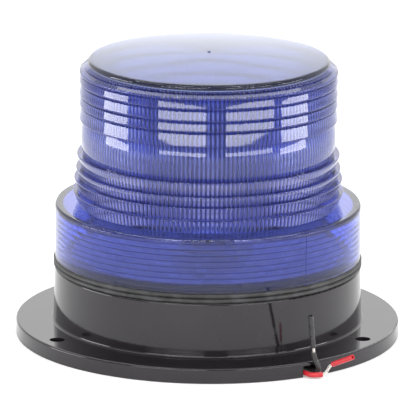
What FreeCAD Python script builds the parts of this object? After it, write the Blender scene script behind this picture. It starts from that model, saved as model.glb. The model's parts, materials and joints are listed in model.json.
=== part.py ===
# Warning light: flanged base, screw-on Fresnel lens, LED tower and flash driver.
# Millimetres; +Z up, mounting face at z = 0, the leads leave on the -Y side.
import FreeCAD
import Part
import Sketcher
import math
import os

SIZES = {
    # base
    "base_top_radius": 65.8,
    "base_height": 29.8,
    "base_wall": 4.0,
    "wall_draft": 0.7,
    "base_edge_round": 0.8,
    "flange_width": 16.0,
    "flange_thickness": 6.4,
    "flange_edge_round": 0.8,
    "bolt_edge_distance": 7.5,
    "bolt_hole_diameter": 6.5,
    "deck_thickness": 3.0,
    "gasket_seat_width": 3.9,
    "collar_wall": 3.2,
    "collar_height": 7.2,
    "notch_width": 8.0,
    "notch_height": 4.8,
    # bottom cover
    "cover_ledge": 1.8,
    "cover_seat_height": 9.5,
    "cover_thickness": 2.5,
    "cover_gap": 0.3,
    "seal_thickness": 0.8,
    "pillar_inset": 6.3,
    "pillar_radius": 4.0,
    "cover_screw_radius": 1.5,
    "cover_screw_head_radius": 3.0,
    "cover_screw_head_height": 1.6,
    "cover_screw_length": 9.0,
    "pilot_clearance": 0.1,
    # lens gasket
    "gasket_inset": 0.3,
    "gasket_lobe": 0.8,
    "gasket_height": 4.2,
    "fit_gap": 0.3,
    # lens skirt and shoulder
    "skirt_inset": 0.1,
    "skirt_height": 23.5,
    "skirt_round": 1.8,
    "shoulder_width": 7.7,
    "shoulder_wall": 3.0,
    # lens prisms, lowest first below the central band, then lowest first above it
    "lower_prism_1_height": 5.9,
    "lower_prism_2_height": 5.5,
    "lower_prism_3_height": 4.5,
    "lower_prism_4_height": 5.9,
    "lower_lip_step": 0.6,
    "lower_prism_slope": 0.36,
    "band_height": 14.7,
    "band_inset": 4.4,
    "band_bulge": 1.0,
    "upper_prism_1_height": 6.5,
    "upper_prism_2_height": 4.5,
    "upper_prism_3_height": 5.2,
    "upper_prism_4_height": 4.0,
    "upper_prism_5_height": 2.6,
    "upper_prism_6_height": 2.0,
    "upper_lip_inset": 2.7,
    "top_lip_inset": 1.9,
    "upper_prism_slope": 0.28,
    "top_prism_slope": 0.85,
    "top_edge_round": 1.6,
    "top_crown": 3.2,
    "roof_wall": 3.4,
    # lens flutes
    "flute_count": 90,
    "drum_wall": 1.3,
    "flute_draft": 1.6,
    "flute_depth": 0.6,
    # reflector plate and LED tower
    "boss_height": 5.5,
    "boss_radius": 4.0,
    "plate_thickness": 1.5,
    "plate_gap": 0.3,
    "tower_foot_margin": 0.9,
    "tower_foot_thickness": 3.0,
    "tower_flats": 22.0,
    "tower_bore_radius": 5.0,
    "tower_screw_gap": 0.8,
    "tower_screw_radius": 1.5,
    "tower_screw_head_radius": 2.8,
    "tower_screw_head_height": 2.0,
    "tower_screw_length": 10.0,
    "tower_cap_thickness": 2.0,
    "tower_cap_gap": 0.2,
    "led_board_margin": 0.85,
    "led_board_height": 34.0,
    "led_board_thickness": 1.6,
    "led_width": 5.0,
    "led_thickness": 1.0,
    "led_dome_radius": 1.9,
    "led_dome_height": 1.6,
    # driver board and its parts
    "board_gap": 1.0,
    "board_thickness": 1.6,
    "standoff_radius": 3.5,
    "standoff_inset": 6.5,
    "board_screw_radius": 1.3,
    "board_screw_head_radius": 2.6,
    "board_screw_head_height": 1.8,
    "board_screw_tip_gap": 1.0,
    "capacitor_radius": 5.0,
    "capacitor_length": 18.0,
    "component_gap": 0.7,
    "choke_radius": 6.0,
    "choke_height": 7.5,
    "transistor_width": 6.6,
    "transistor_height": 2.3,
    "diode_length": 7.0,
    "diode_height": 2.4,
    "controller_length": 5.0,
    "controller_height": 1.6,
    "terminal_width": 12.0,
    "terminal_depth": 9.0,
    "terminal_gap": 0.7,
    # grommet and leads
    "grommet_inset": 4.5,
    "grommet_neck_radius": 4.9,
    "grommet_lip_width": 1.7,
    "grommet_lip_thickness": 1.3,
    "lead_spacing": 3.4,
    "lead_radius": 1.1,
    "lead_clearance": 0.1,
    "strand_radius": 0.75,
    "harness_radius": 0.8,
    "harness_spacing": 3.0,
}

doc = FreeCAD.newDocument("warning_light")
sheet = doc.addObject("Spreadsheet::Sheet", "Sizes")
for row, (alias, number) in enumerate(SIZES.items(), start=1):
    sheet.set(f"A{row}", alias)
    sheet.set(f"B{row}", str(number))
    sheet.setAlias(f"B{row}", alias)
doc.recompute()

UP = FreeCAD.Vector(0, 0, 1)
nodes = []


def value(expression):
    """Number that an expression of the sheet gives."""
    return float(sheet.evalExpression(expression))


def plus(*terms):
    """Sum of expressions as one bracketed expression."""
    return "(" + " + ".join(terms) + ")"


def minus(first, *terms):
    """First expression less the others as one bracketed expression."""
    return "(" + " - ".join((first,) + terms) + ")"


def keep(item, label):
    """Name an object as a sub-part to write."""
    item.Label = label
    nodes.append(item)
    return item


# Sketches
def new_sketch(body, name, role, height=None):
    """Sketch on one of the body's origin planes, raised by an expression."""
    sketch = body.newObject("Sketcher::SketchObject", name)
    plane = next(item for item in body.Origin.OriginFeatures if item.Role == role)
    sketch.AttachmentSupport = (plane, [""])
    sketch.MapMode = "FlatFace"
    if height:
        sketch.setExpression("AttachmentOffset.Base.z", height)
    return sketch


def fix_point(sketch, geometry, end, x, y):
    """Hold one point of the sketch at two expressions from the origin."""
    for kind, axis, expression in (("DistanceX", -2, x), ("DistanceY", -1, y)):
        if expression == "0":
            sketch.addConstraint(Sketcher.Constraint("PointOnObject", geometry, end, axis))
            continue
        number = value(expression)
        index = sketch.addConstraint(Sketcher.Constraint(kind, -1, 1, geometry, end, number))
        sketch.setExpression(f"Constraints[{index}]", expression)


def arc_between(start, finish, radius, side):
    """Arc of a circle from start to finish, turning left (side 1) or right (side -1)."""
    chord = finish - start
    across = FreeCAD.Vector(-chord.y, chord.x, 0).normalize()
    reach = math.sqrt(max(radius ** 2 - chord.Length ** 2 / 4, 0))
    centre = (start + finish) * 0.5 + across * (reach * side)
    ends = (start, finish) if side > 0 else (finish, start)
    angles = [math.atan2(point.y - centre.y, point.x - centre.x) for point in ends]
    if angles[1] < angles[0]:
        angles[1] += 2 * math.pi
    return Part.ArcOfCircle(Part.Circle(centre, UP, radius), angles[0], angles[1])


def outline(body, name, role, points, height=None):
    """Closed outline; a point is (x, y), or (x, y, radius, side) where an arc follows."""
    sketch = new_sketch(body, name, role, height)
    spots = [FreeCAD.Vector(value(point[0]), value(point[1]), 0) for point in points]
    starts = []
    for index, point in enumerate(points):
        start = spots[index]
        finish = spots[(index + 1) % len(spots)]
        if len(point) == 2:
            sketch.addGeometry(Part.LineSegment(start, finish))
            starts.append(1)
        else:
            sketch.addGeometry(arc_between(start, finish, value(point[2]), point[3]))
            starts.append(1 if point[3] > 0 else 2)
    for index, point in enumerate(points):
        before = (index - 1) % len(points)
        sketch.addConstraint(
            Sketcher.Constraint("Coincident", before, 3 - starts[before], index, starts[index])
        )
        fix_point(sketch, index, starts[index], point[0], point[1])
        if len(point) > 2:
            ring = sketch.addConstraint(Sketcher.Constraint("Radius", index, value(point[2])))
            sketch.setExpression(f"Constraints[{ring}]", point[2])
    return sketch


def circles(body, name, spots, radius, height=None):
    """Sketch of equal circles on the XY plane, raised by an expression."""
    sketch = new_sketch(body, name, "XY_Plane", height)
    for index, (x, y) in enumerate(spots):
        centre = FreeCAD.Vector(value(x), value(y), 0)
        sketch.addGeometry(Part.Circle(centre, UP, value(radius)))
        fix_point(sketch, index, 3, x, y)
        ring = sketch.addConstraint(Sketcher.Constraint("Radius", index, value(radius)))
        sketch.setExpression(f"Constraints[{ring}]", radius)
    return sketch


# Features
def new_body(label):
    """Empty body that becomes one sub-part."""
    return keep(doc.addObject("PartDesign::Body", label), label)


def revolve(body, sketch):
    """Full turn of an outline about the Z axis."""
    feature = body.newObject("PartDesign::Revolution", sketch.Name + "_turn")
    feature.Profile = sketch
    feature.ReferenceAxis = (sketch, ["V_Axis"])
    feature.Angle = 360
    return feature


def pad(body, sketch, length):
    """Raise a sketch along its normal."""
    feature = body.newObject("PartDesign::Pad", sketch.Name + "_pad")
    feature.Profile = sketch
    feature.setExpression("Length", length)
    return feature


def pocket(body, sketch, length=None, reverse=False):
    """Cut a sketch against its normal, or through everything both ways."""
    feature = body.newObject("PartDesign::Pocket", sketch.Name + "_cut")
    feature.Profile = sketch
    if length:
        feature.setExpression("Length", length)
        feature.Reversed = reverse
    else:
        feature.Type = "ThroughAll"
        feature.SideType = "Symmetric"
    return feature


def around(body, feature, count):
    """Repeat a feature about the Z axis."""
    axis = next(item for item in body.Origin.OriginFeatures if item.Role == "Z_Axis")
    pattern = body.newObject("PartDesign::PolarPattern", feature.Name + "_ring")
    pattern.Originals = [feature]
    pattern.Axis = (axis, [""])
    pattern.Angle = 360
    pattern.Occurrences = count
    body.Tip = pattern
    return pattern


def solid(kind, name, sizes, place=None, turn=None):
    """Part primitive whose sizes and place follow expressions."""
    item = doc.addObject(kind, name)
    if turn:
        item.Placement = FreeCAD.Placement(FreeCAD.Vector(), turn)
    for key, expression in sizes.items():
        item.setExpression(key, expression)
    for key, expression in zip("xyz", place or ()):
        item.setExpression(f"Placement.Base.{key}", expression)
    return item


def group(name, kind, members):
    """Fusion, or compound of separate solids, of several objects."""
    item = doc.addObject(kind, name)
    if kind == "Part::Compound":
        item.Links = members
    else:
        item.Shapes = members
    return item


# Shared radii
TOP_WALL = "Sizes.base_top_radius"
FOOT_RADIUS = plus(TOP_WALL, "Sizes.wall_draft")
FLANGE_RADIUS = plus(FOOT_RADIUS, "Sizes.flange_width")
BOLT_CIRCLE = minus(FLANGE_RADIUS, "Sizes.bolt_edge_distance")
COLLAR_RADIUS = minus(TOP_WALL, "Sizes.gasket_seat_width")
COLLAR_BORE = minus(COLLAR_RADIUS, "Sizes.collar_wall")
CAVITY_RADIUS = minus(TOP_WALL, "Sizes.base_wall")
RECESS_RADIUS = plus(CAVITY_RADIUS, "Sizes.cover_ledge")
COVER_RADIUS = minus(RECESS_RADIUS, "Sizes.cover_gap")
PILLAR_CIRCLE = minus(CAVITY_RADIUS, "Sizes.pillar_inset")
PILLAR = f"({PILLAR_CIRCLE} * cos(45))"
BOARD_RADIUS = minus(PILLAR_CIRCLE, "Sizes.pillar_radius", "Sizes.board_gap")
STANDOFF_CIRCLE = minus(BOARD_RADIUS, "Sizes.standoff_inset")
GROMMET_Y = "-" + minus(BOARD_RADIUS, "Sizes.grommet_inset")
GROMMET_LIP = plus("Sizes.grommet_neck_radius", "Sizes.grommet_lip_width")
SKIRT_RADIUS = minus(TOP_WALL, "Sizes.skirt_inset")
SKIRT_BORE = plus(COLLAR_RADIUS, "Sizes.fit_gap")
LOWER_LIP = minus(SKIRT_RADIUS, "Sizes.shoulder_width")
BAND_EDGE = minus(LOWER_LIP, "Sizes.band_inset")
UPPER_LIP = minus(LOWER_LIP, "Sizes.upper_lip_inset")
FLUTE_FOOT = minus(BAND_EDGE, "Sizes.drum_wall")
FLUTE_TOP = minus(FLUTE_FOOT, "Sizes.flute_draft")
CORNER = "(Sizes.tower_flats / 2 / cos(30))"
TOWER_SCREW_CIRCLE = plus(CORNER, "Sizes.tower_screw_head_radius", "Sizes.tower_screw_gap")
TOWER_FOOT_RADIUS = plus(TOWER_SCREW_CIRCLE, "Sizes.tower_screw_head_radius", "Sizes.tower_foot_margin")
LED_BOARD_WIDTH = minus(CORNER, "2 * Sizes.led_board_margin")

# Shared heights
DECK = "Sizes.base_height"
DECK_UNDER = minus(DECK, "Sizes.deck_thickness")
COLLAR_TOP = plus(DECK, "Sizes.collar_height")
COVER_TOP = minus("Sizes.cover_seat_height", "Sizes.seal_thickness")
COVER_UNDER = minus(COVER_TOP, "Sizes.cover_thickness")
GROMMET_UNDER = minus(COVER_UNDER, "Sizes.grommet_lip_thickness")
BOARD_UNDER = plus(COVER_TOP, "2 * Sizes.capacitor_radius", "Sizes.component_gap")
BOARD_TOP = plus(BOARD_UNDER, "Sizes.board_thickness")
STANDOFF = minus(DECK_UNDER, BOARD_TOP)
TERMINAL_UNDER = plus(COVER_TOP, "Sizes.grommet_lip_thickness", "Sizes.terminal_gap")
BOSS_TOP = plus(DECK, "Sizes.boss_height")
PLATE_TOP = plus(BOSS_TOP, "Sizes.plate_thickness")
TOWER_FOOT_TOP = plus(PLATE_TOP, "Sizes.tower_foot_thickness")
LENS_FOOT = plus(DECK, "Sizes.gasket_height")
SHOULDER = plus(LENS_FOOT, "Sizes.skirt_height")
SHOULDER_UNDER = minus(SHOULDER, "Sizes.shoulder_wall")
LOWER_HEIGHTS = [f"Sizes.lower_prism_{number}_height" for number in range(1, 5)]
UPPER_HEIGHTS = [f"Sizes.upper_prism_{number}_height" for number in range(1, 7)]
BAND_FOOT = plus(SHOULDER, *LOWER_HEIGHTS)
BAND_TOP = plus(BAND_FOOT, "Sizes.band_height")
FOCUS = plus(BAND_FOOT, "Sizes.band_height / 2")
TOWER_TOP = plus(FOCUS, "Sizes.led_board_height / 2")
LENS_TOP = plus(BAND_TOP, *UPPER_HEIGHTS, "Sizes.top_edge_round")
ROOF_EDGE = minus(LENS_TOP, "Sizes.roof_wall")


# Base housing: flange, wall, gasket seat, threaded collar and deck
base = new_body("base_housing")
base_profile = outline(base, "base_profile", "XZ_Plane", [
    (RECESS_RADIUS, "0"),
    (FLANGE_RADIUS, "0"),
    (FLANGE_RADIUS, minus("Sizes.flange_thickness", "Sizes.flange_edge_round"),
     "Sizes.flange_edge_round", 1),
    (minus(FLANGE_RADIUS, "Sizes.flange_edge_round"), "Sizes.flange_thickness"),
    (FOOT_RADIUS, "Sizes.flange_thickness"),
    (TOP_WALL, minus(DECK, "Sizes.base_edge_round"), "Sizes.base_edge_round", 1),
    (minus(TOP_WALL, "Sizes.base_edge_round"), DECK),
    (COLLAR_RADIUS, DECK),
    (COLLAR_RADIUS, COLLAR_TOP),
    (COLLAR_BORE, COLLAR_TOP),
    (COLLAR_BORE, DECK),
    ("0", DECK),
    ("0", DECK_UNDER),
    (CAVITY_RADIUS, DECK_UNDER),
    (CAVITY_RADIUS, "Sizes.cover_seat_height"),
    (RECESS_RADIUS, "Sizes.cover_seat_height"),
])
revolve(base, base_profile)
bolt_hole = circles(base, "bolt_hole", [("-" + BOLT_CIRCLE, "0")],
                    "Sizes.bolt_hole_diameter / 2")
around(base, pocket(base, bolt_hole), 3)
notch = outline(base, "notch", "XZ_Plane", [
    ("-Sizes.notch_width / 2", "0"),
    ("Sizes.notch_width / 2", "0"),
    ("Sizes.notch_width / 2", "Sizes.notch_height"),
    ("-Sizes.notch_width / 2", "Sizes.notch_height"),
])
pocket(base, notch, FLANGE_RADIUS, reverse=True)
wire_hole = circles(base, "wire_hole", [("0", "0")], "Sizes.tower_bore_radius")
pocket(base, wire_hole)

# Pillars for the cover screws, standoffs for the driver board, bosses for the tower screws
pillar = circles(base, "pillar", [(PILLAR, PILLAR)], "Sizes.pillar_radius", COVER_TOP)
around(base, pad(base, pillar, plus(minus(DECK_UNDER, COVER_TOP), "Sizes.deck_thickness / 2")), 4)
pillar_hole = circles(base, "pillar_hole", [(PILLAR, PILLAR)],
                      plus("Sizes.cover_screw_radius", "Sizes.pilot_clearance"), COVER_TOP)
around(base, pocket(base, pillar_hole, "Sizes.cover_screw_length", reverse=True), 4)
standoff = circles(base, "standoff", [("0", STANDOFF_CIRCLE)],
                   "Sizes.standoff_radius", BOARD_TOP)
around(base, pad(base, standoff, plus(STANDOFF, "Sizes.deck_thickness / 2")), 3)
standoff_hole = circles(base, "standoff_hole", [("0", STANDOFF_CIRCLE)],
                        plus("Sizes.board_screw_radius", "Sizes.pilot_clearance"), BOARD_TOP)
around(base, pocket(base, standoff_hole, STANDOFF, reverse=True), 3)
boss = circles(base, "boss", [("0", TOWER_SCREW_CIRCLE)],
               "Sizes.boss_radius", minus(DECK, "Sizes.deck_thickness / 2"))
around(base, pad(base, boss, plus("Sizes.boss_height", "Sizes.deck_thickness / 2")), 3)
boss_hole = circles(base, "boss_hole", [("0", TOWER_SCREW_CIRCLE)],
                    plus("Sizes.tower_screw_radius", "Sizes.pilot_clearance"), BOSS_TOP)
around(base, pocket(base, boss_hole, "Sizes.tower_screw_length - Sizes.tower_foot_thickness"), 3)

# Bottom cover with its screw holes and grommet hole, and its seal
cover = new_body("bottom_cover")
cover_disc = circles(cover, "cover_disc", [("0", "0")],
                     COVER_RADIUS, COVER_UNDER)
pad(cover, cover_disc, "Sizes.cover_thickness")
grommet_hole = circles(cover, "grommet_hole", [("0", GROMMET_Y)],
                       plus("Sizes.grommet_neck_radius", "Sizes.lead_clearance"))
pocket(cover, grommet_hole)
screw_hole = circles(cover, "screw_hole", [(PILLAR, PILLAR)],
                     plus("Sizes.cover_screw_radius", "Sizes.pilot_clearance"))
around(cover, pocket(cover, screw_hole), 4)

seal = new_body("cover_seal")
seal_profile = outline(seal, "seal_profile", "XZ_Plane", [
    (CAVITY_RADIUS, COVER_TOP),
    (COVER_RADIUS, COVER_TOP),
    (COVER_RADIUS, "Sizes.cover_seat_height"),
    (CAVITY_RADIUS, "Sizes.cover_seat_height"),
])
revolve(seal, seal_profile)


# Screws: one head and shank, copied round the Z axis as separate solids
def screws(label, spot, count, shank, head, head_foot, shank_foot, shank_length):
    """Group of equal screws; heads and shanks are (radius, height) expressions."""
    made = []
    for number in range(count):
        spin = FreeCAD.Rotation(UP, 360 / count * number)
        x, y = (value(expression) for expression in spot)
        place = spin.multVec(FreeCAD.Vector(x, y, 0))
        head_item = solid("Part::Cylinder", f"{label}_head_{number + 1}",
                          {"Radius": head[0], "Height": head[1]})
        shank_item = solid("Part::Cylinder", f"{label}_shank_{number + 1}",
                           {"Radius": shank, "Height": shank_length})
        head_item.Placement.Base = place + UP * value(head_foot)
        shank_item.Placement.Base = place + UP * value(shank_foot)
        made.append(group(f"{label}_{number + 1}", "Part::MultiFuse", [head_item, shank_item]))
    return keep(group(label, "Part::Compound", made), label)


screws("cover_screws", (PILLAR, PILLAR), 4, "Sizes.cover_screw_radius",
       ("Sizes.cover_screw_head_radius", "Sizes.cover_screw_head_height"),
       minus(COVER_UNDER, "Sizes.cover_screw_head_height"), COVER_UNDER,
       "Sizes.cover_screw_length")
screws("board_screws", ("0", STANDOFF_CIRCLE), 3, "Sizes.board_screw_radius",
       ("Sizes.board_screw_head_radius", "Sizes.board_screw_head_height"),
       minus(BOARD_UNDER, "Sizes.board_screw_head_height"), BOARD_UNDER,
       minus(plus("Sizes.board_thickness", STANDOFF), "Sizes.board_screw_tip_gap"))
screws("tower_screws", ("0", TOWER_SCREW_CIRCLE), 3, "Sizes.tower_screw_radius",
       ("Sizes.tower_screw_head_radius", "Sizes.tower_screw_head_height"), TOWER_FOOT_TOP,
       minus(TOWER_FOOT_TOP, "Sizes.tower_screw_length"), "Sizes.tower_screw_length")

# Driver board with holes for its screws and the tower wires
driver = new_body("driver_board")
board_disc = circles(driver, "board_disc", [("0", "0")], BOARD_RADIUS, BOARD_UNDER)
pad(driver, board_disc, "Sizes.board_thickness")
board_hole = circles(driver, "board_hole", [("0", STANDOFF_CIRCLE)],
                     plus("Sizes.board_screw_radius", "Sizes.pilot_clearance"))
around(driver, pocket(driver, board_hole), 3)


def hung(kind, label, sizes, x, y, height):
    """Component under the driver board, its place given by its corner or axis."""
    return keep(solid(kind, label, sizes, (x, y, minus(BOARD_UNDER, height))), label)


keep(solid("Part::Cylinder", "storage_capacitor",
           {"Radius": "Sizes.capacitor_radius", "Height": "Sizes.capacitor_length"},
           ("-Sizes.capacitor_length / 2", BOARD_RADIUS + " * 0.4",
            minus(BOARD_UNDER, "Sizes.capacitor_radius")),
           FreeCAD.Rotation(FreeCAD.Vector(0, 1, 0), 90)), "storage_capacitor")
hung("Part::Cylinder", "choke_coil", {"Radius": "Sizes.choke_radius", "Height": "Sizes.choke_height"},
     BOARD_RADIUS + " * 0.55", "0", "Sizes.choke_height")
hung("Part::Box", "switching_transistor",
     {"Length": "Sizes.transistor_width", "Width": "Sizes.transistor_width",
      "Height": "Sizes.transistor_height"},
     "-" + BOARD_RADIUS + " * 0.6", "0", "Sizes.transistor_height")
hung("Part::Box", "polarity_diode",
     {"Length": "Sizes.diode_length", "Width": "Sizes.diode_length * 0.8",
      "Height": "Sizes.diode_height"},
     BOARD_RADIUS + " * 0.25", "-" + BOARD_RADIUS + " * 0.5", "Sizes.diode_height")
hung("Part::Box", "flash_controller",
     {"Length": "Sizes.controller_length", "Width": "Sizes.controller_length * 0.8",
      "Height": "Sizes.controller_height"},
     "-" + BOARD_RADIUS + " * 0.35", "-" + BOARD_RADIUS + " * 0.35", "Sizes.controller_height")
hung("Part::Box", "lead_terminal",
     {"Length": "Sizes.terminal_width", "Width": "Sizes.terminal_depth",
      "Height": minus(BOARD_UNDER, TERMINAL_UNDER)},
     "-Sizes.terminal_width / 2", GROMMET_Y + " - Sizes.terminal_depth / 2",
     minus(BOARD_UNDER, TERMINAL_UNDER))

# Grommet in the cover, and the lead ends that pass through it to the terminal
grommet = new_body("lead_grommet")
lip = circles(grommet, "grommet_lip", [("0", GROMMET_Y)], GROMMET_LIP, GROMMET_UNDER)
pad(grommet, lip, "Sizes.grommet_lip_thickness")
neck = circles(grommet, "grommet_neck", [("0", GROMMET_Y)], "Sizes.grommet_neck_radius", COVER_UNDER)
pad(grommet, neck, "Sizes.cover_thickness")
rim = circles(grommet, "grommet_rim", [("0", GROMMET_Y)], GROMMET_LIP, COVER_TOP)
pad(grommet, rim, "Sizes.grommet_lip_thickness")
lead_spots = [("-Sizes.lead_spacing / 2", GROMMET_Y), ("Sizes.lead_spacing / 2", GROMMET_Y)]
lead_holes = circles(grommet, "lead_holes", lead_spots,
                     plus("Sizes.lead_radius", "Sizes.lead_clearance"))
pocket(grommet, lead_holes)
tails = []
for number, (x, y) in enumerate(lead_spots, start=1):
    tails.append(solid("Part::Cylinder", f"lead_tail_{number}", {
        "Radius": "Sizes.lead_radius",
        "Height": minus(TERMINAL_UNDER, GROMMET_UNDER),
    }, (x, y, GROMMET_UNDER)))
keep(group("lead_tails", "Part::Compound", tails), "lead_tails")

# White reflector plate on the collar's floor
plate = new_body("reflector_plate")
plate_disc = circles(plate, "plate_disc", [("0", "0")],
                     minus(COLLAR_BORE, "Sizes.plate_gap"), BOSS_TOP)
pad(plate, plate_disc, "Sizes.plate_thickness")
plate_hole = circles(plate, "plate_hole", [("0", TOWER_SCREW_CIRCLE)],
                     plus("Sizes.tower_screw_radius", "Sizes.pilot_clearance"))
around(plate, pocket(plate, plate_hole), 3)
plate_bore = circles(plate, "plate_bore", [("0", "0")], "Sizes.tower_bore_radius")
pocket(plate, plate_bore)

# LED tower: six-sided column on a round foot, bored for the wires
tower = new_body("led_tower")
tower_foot = circles(tower, "tower_foot", [("0", "0")], TOWER_FOOT_RADIUS, PLATE_TOP)
pad(tower, tower_foot, "Sizes.tower_foot_thickness")
hexagon = outline(tower, "hexagon", "XY_Plane", [
    ("Sizes.tower_flats / 2", CORNER + " / 2"),
    ("0", CORNER),
    ("-Sizes.tower_flats / 2", CORNER + " / 2"),
    ("-Sizes.tower_flats / 2", "-" + CORNER + " / 2"),
    ("0", "-" + CORNER),
    ("Sizes.tower_flats / 2", "-" + CORNER + " / 2"),
], TOWER_FOOT_TOP)
pad(tower, hexagon, minus(TOWER_TOP, TOWER_FOOT_TOP))
tower_bore = circles(tower, "tower_bore", [("0", "0")], "Sizes.tower_bore_radius")
pocket(tower, tower_bore)
foot_hole = circles(tower, "foot_hole", [("0", TOWER_SCREW_CIRCLE)],
                    plus("Sizes.tower_screw_radius", "Sizes.pilot_clearance"))
around(tower, pocket(tower, foot_hole), 3)

cap = new_body("tower_cap")
cap_plug = circles(cap, "cap_plug", [("0", "0")],
                   minus("Sizes.tower_bore_radius", "Sizes.tower_cap_gap"),
                   minus(TOWER_TOP, "2 * Sizes.tower_cap_thickness"))
pad(cap, cap_plug, "2 * Sizes.tower_cap_thickness")
cap_disc = circles(cap, "cap_disc", [("0", "0")], "Sizes.tower_flats / 2", TOWER_TOP)
pad(cap, cap_disc, "Sizes.tower_cap_thickness")

harness = []
for number, side in enumerate(("-", ""), start=1):
    harness.append(solid("Part::Cylinder", f"harness_wire_{number}", {
        "Radius": "Sizes.harness_radius",
        "Height": minus(FOCUS, BOARD_TOP),
    }, (side + "Sizes.harness_spacing / 2", "0", BOARD_TOP)))
keep(group("led_harness", "Part::Compound", harness), "led_harness")

# LED boards on the six faces, each with one emitter at the height the lens focuses on
for number in range(6):
    face = FreeCAD.Rotation(UP, 60 * number)
    board = solid("Part::Box", f"led_board_{number + 1}", {
        "Length": "Sizes.led_board_thickness",
        "Width": LED_BOARD_WIDTH,
        "Height": "Sizes.led_board_height",
    })
    corner = FreeCAD.Vector(value("Sizes.tower_flats / 2"), -value(LED_BOARD_WIDTH) / 2,
                            value(minus(TOWER_TOP, "Sizes.led_board_height")))
    board.Placement = FreeCAD.Placement(face.multVec(corner), face)
    keep(board, f"led_board_{number + 1}")
    chip = solid("Part::Box", f"led_chip_{number + 1}", {
        "Length": "Sizes.led_thickness",
        "Width": "Sizes.led_width",
        "Height": "Sizes.led_width",
    })
    front = value(plus("Sizes.tower_flats / 2", "Sizes.led_board_thickness"))
    corner = FreeCAD.Vector(front, -value("Sizes.led_width / 2"),
                            value(minus(FOCUS, "Sizes.led_width / 2")))
    chip.Placement = FreeCAD.Placement(face.multVec(corner), face)
    dome = solid("Part::Cone", f"led_dome_{number + 1}", {
        "Radius1": "Sizes.led_dome_radius",
        "Radius2": "Sizes.led_dome_radius / 2",
        "Height": "Sizes.led_dome_height",
    })
    middle = FreeCAD.Vector(front + value("Sizes.led_thickness"), 0, value(FOCUS))
    outward = face.multiply(FreeCAD.Rotation(FreeCAD.Vector(0, 1, 0), 90))
    dome.Placement = FreeCAD.Placement(face.multVec(middle), outward)
    keep(group(f"led_{number + 1}", "Part::MultiFuse", [chip, dome]), f"led_{number + 1}")

# Lens gasket: two rounded lobes round the collar
gasket = new_body("lens_gasket")
GASKET_ROOT = minus(TOP_WALL, "Sizes.gasket_inset")
LOBE = "(Sizes.gasket_height / 2)"
LOBE_RADIUS = f"(({LOBE} ^ 2 / 4 + Sizes.gasket_lobe ^ 2) / (2 * Sizes.gasket_lobe))"
gasket_profile = outline(gasket, "gasket_profile", "XZ_Plane", [
    (SKIRT_BORE, DECK),
    (GASKET_ROOT, DECK, LOBE_RADIUS, 1),
    (GASKET_ROOT, plus(DECK, LOBE), LOBE_RADIUS, 1),
    (GASKET_ROOT, LENS_FOOT),
    (SKIRT_BORE, LENS_FOOT),
])
revolve(gasket, gasket_profile)

# Lens: skirt, shoulder, lower prisms, convex central band, upper prisms and crowned top
lens_body = doc.addObject("PartDesign::Body", "lens_body")
BORE = minus(FLUTE_TOP, "2 * Sizes.flute_depth")
BAND_RADIUS = "((Sizes.band_height ^ 2 / 4 + Sizes.band_bulge ^ 2) / (2 * Sizes.band_bulge))"
lens_points = [
    (SKIRT_BORE, LENS_FOOT),
    (SKIRT_RADIUS, LENS_FOOT),
    (SKIRT_RADIUS, minus(SHOULDER, "Sizes.skirt_round"), "Sizes.skirt_round", 1),
    (minus(SKIRT_RADIUS, "Sizes.skirt_round"), SHOULDER),
]
level = SHOULDER
for number, height in enumerate(LOWER_HEIGHTS):
    lip_radius = minus(LOWER_LIP, f"{number} * Sizes.lower_lip_step")
    lens_points.append((minus(lip_radius, f"{height} * Sizes.lower_prism_slope"), level))
    level = plus(level, height)
    lens_points.append((lip_radius, level))
lens_points.append((BAND_EDGE, BAND_FOOT, BAND_RADIUS, 1))
lens_points.append((BAND_EDGE, BAND_TOP))
level = BAND_TOP
for number, height in enumerate(UPPER_HEIGHTS, start=1):
    slope = "Sizes.top_prism_slope" if number > 4 else "Sizes.upper_prism_slope"
    lip_radius = minus(UPPER_LIP, "Sizes.top_lip_inset") if number > 5 else UPPER_LIP
    lens_points.append((lip_radius, level))
    level = plus(level, height)
    root_radius = minus(lip_radius, f"{height} * {slope}")
    lens_points.append((root_radius, level))
lens_points[-1] = (root_radius, level, "Sizes.top_edge_round", 1)
TOP_RADIUS = minus(root_radius, "Sizes.top_edge_round")
lens_points.append((TOP_RADIUS, LENS_TOP,
                    f"(({TOP_RADIUS} ^ 2 + Sizes.top_crown ^ 2) / (2 * Sizes.top_crown))", 1))
lens_points.append(("0", plus(LENS_TOP, "Sizes.top_crown")))
lens_points.append(("0", plus(ROOF_EDGE, "Sizes.top_crown"),
                    f"(({BORE} ^ 2 + Sizes.top_crown ^ 2) / (2 * Sizes.top_crown))", -1))
lens_points.append((BORE, ROOF_EDGE))
lens_points.append((BORE, SHOULDER_UNDER))
lens_points.append((SKIRT_BORE, SHOULDER_UNDER))
revolve(lens_body, outline(lens_body, "lens_profile", "XZ_Plane", lens_points))


def flute_ring(radius, depth, count, height):
    """Closed wire of inward ribs that meet in sharp valleys."""
    ribs = []
    for number in range(count):
        spots = []
        for share, reach in ((0, radius), (0.5, radius - depth), (1, radius)):
            angle = 2 * math.pi * (number + share) / count
            spots.append(FreeCAD.Vector(reach * math.cos(angle), reach * math.sin(angle), height))
        ribs.append(Part.Arc(*spots).toShape())
    return Part.Wire(ribs)


flute_depth = value("Sizes.flute_depth")
flute_count = round(value("Sizes.flute_count"))
flute_core = doc.addObject("Part::Feature", "flute_core")
flute_core.Shape = Part.makeLoft([
    flute_ring(value(FLUTE_FOOT), flute_depth, flute_count, value(SHOULDER_UNDER) - 1),
    flute_ring(value(FLUTE_TOP), flute_depth, flute_count, value(ROOF_EDGE) - 0.5),
], True, True)
lens = doc.addObject("Part::Cut", "lens")
lens.Base = lens_body
lens.Tool = flute_core
keep(lens, "lens")


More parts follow.
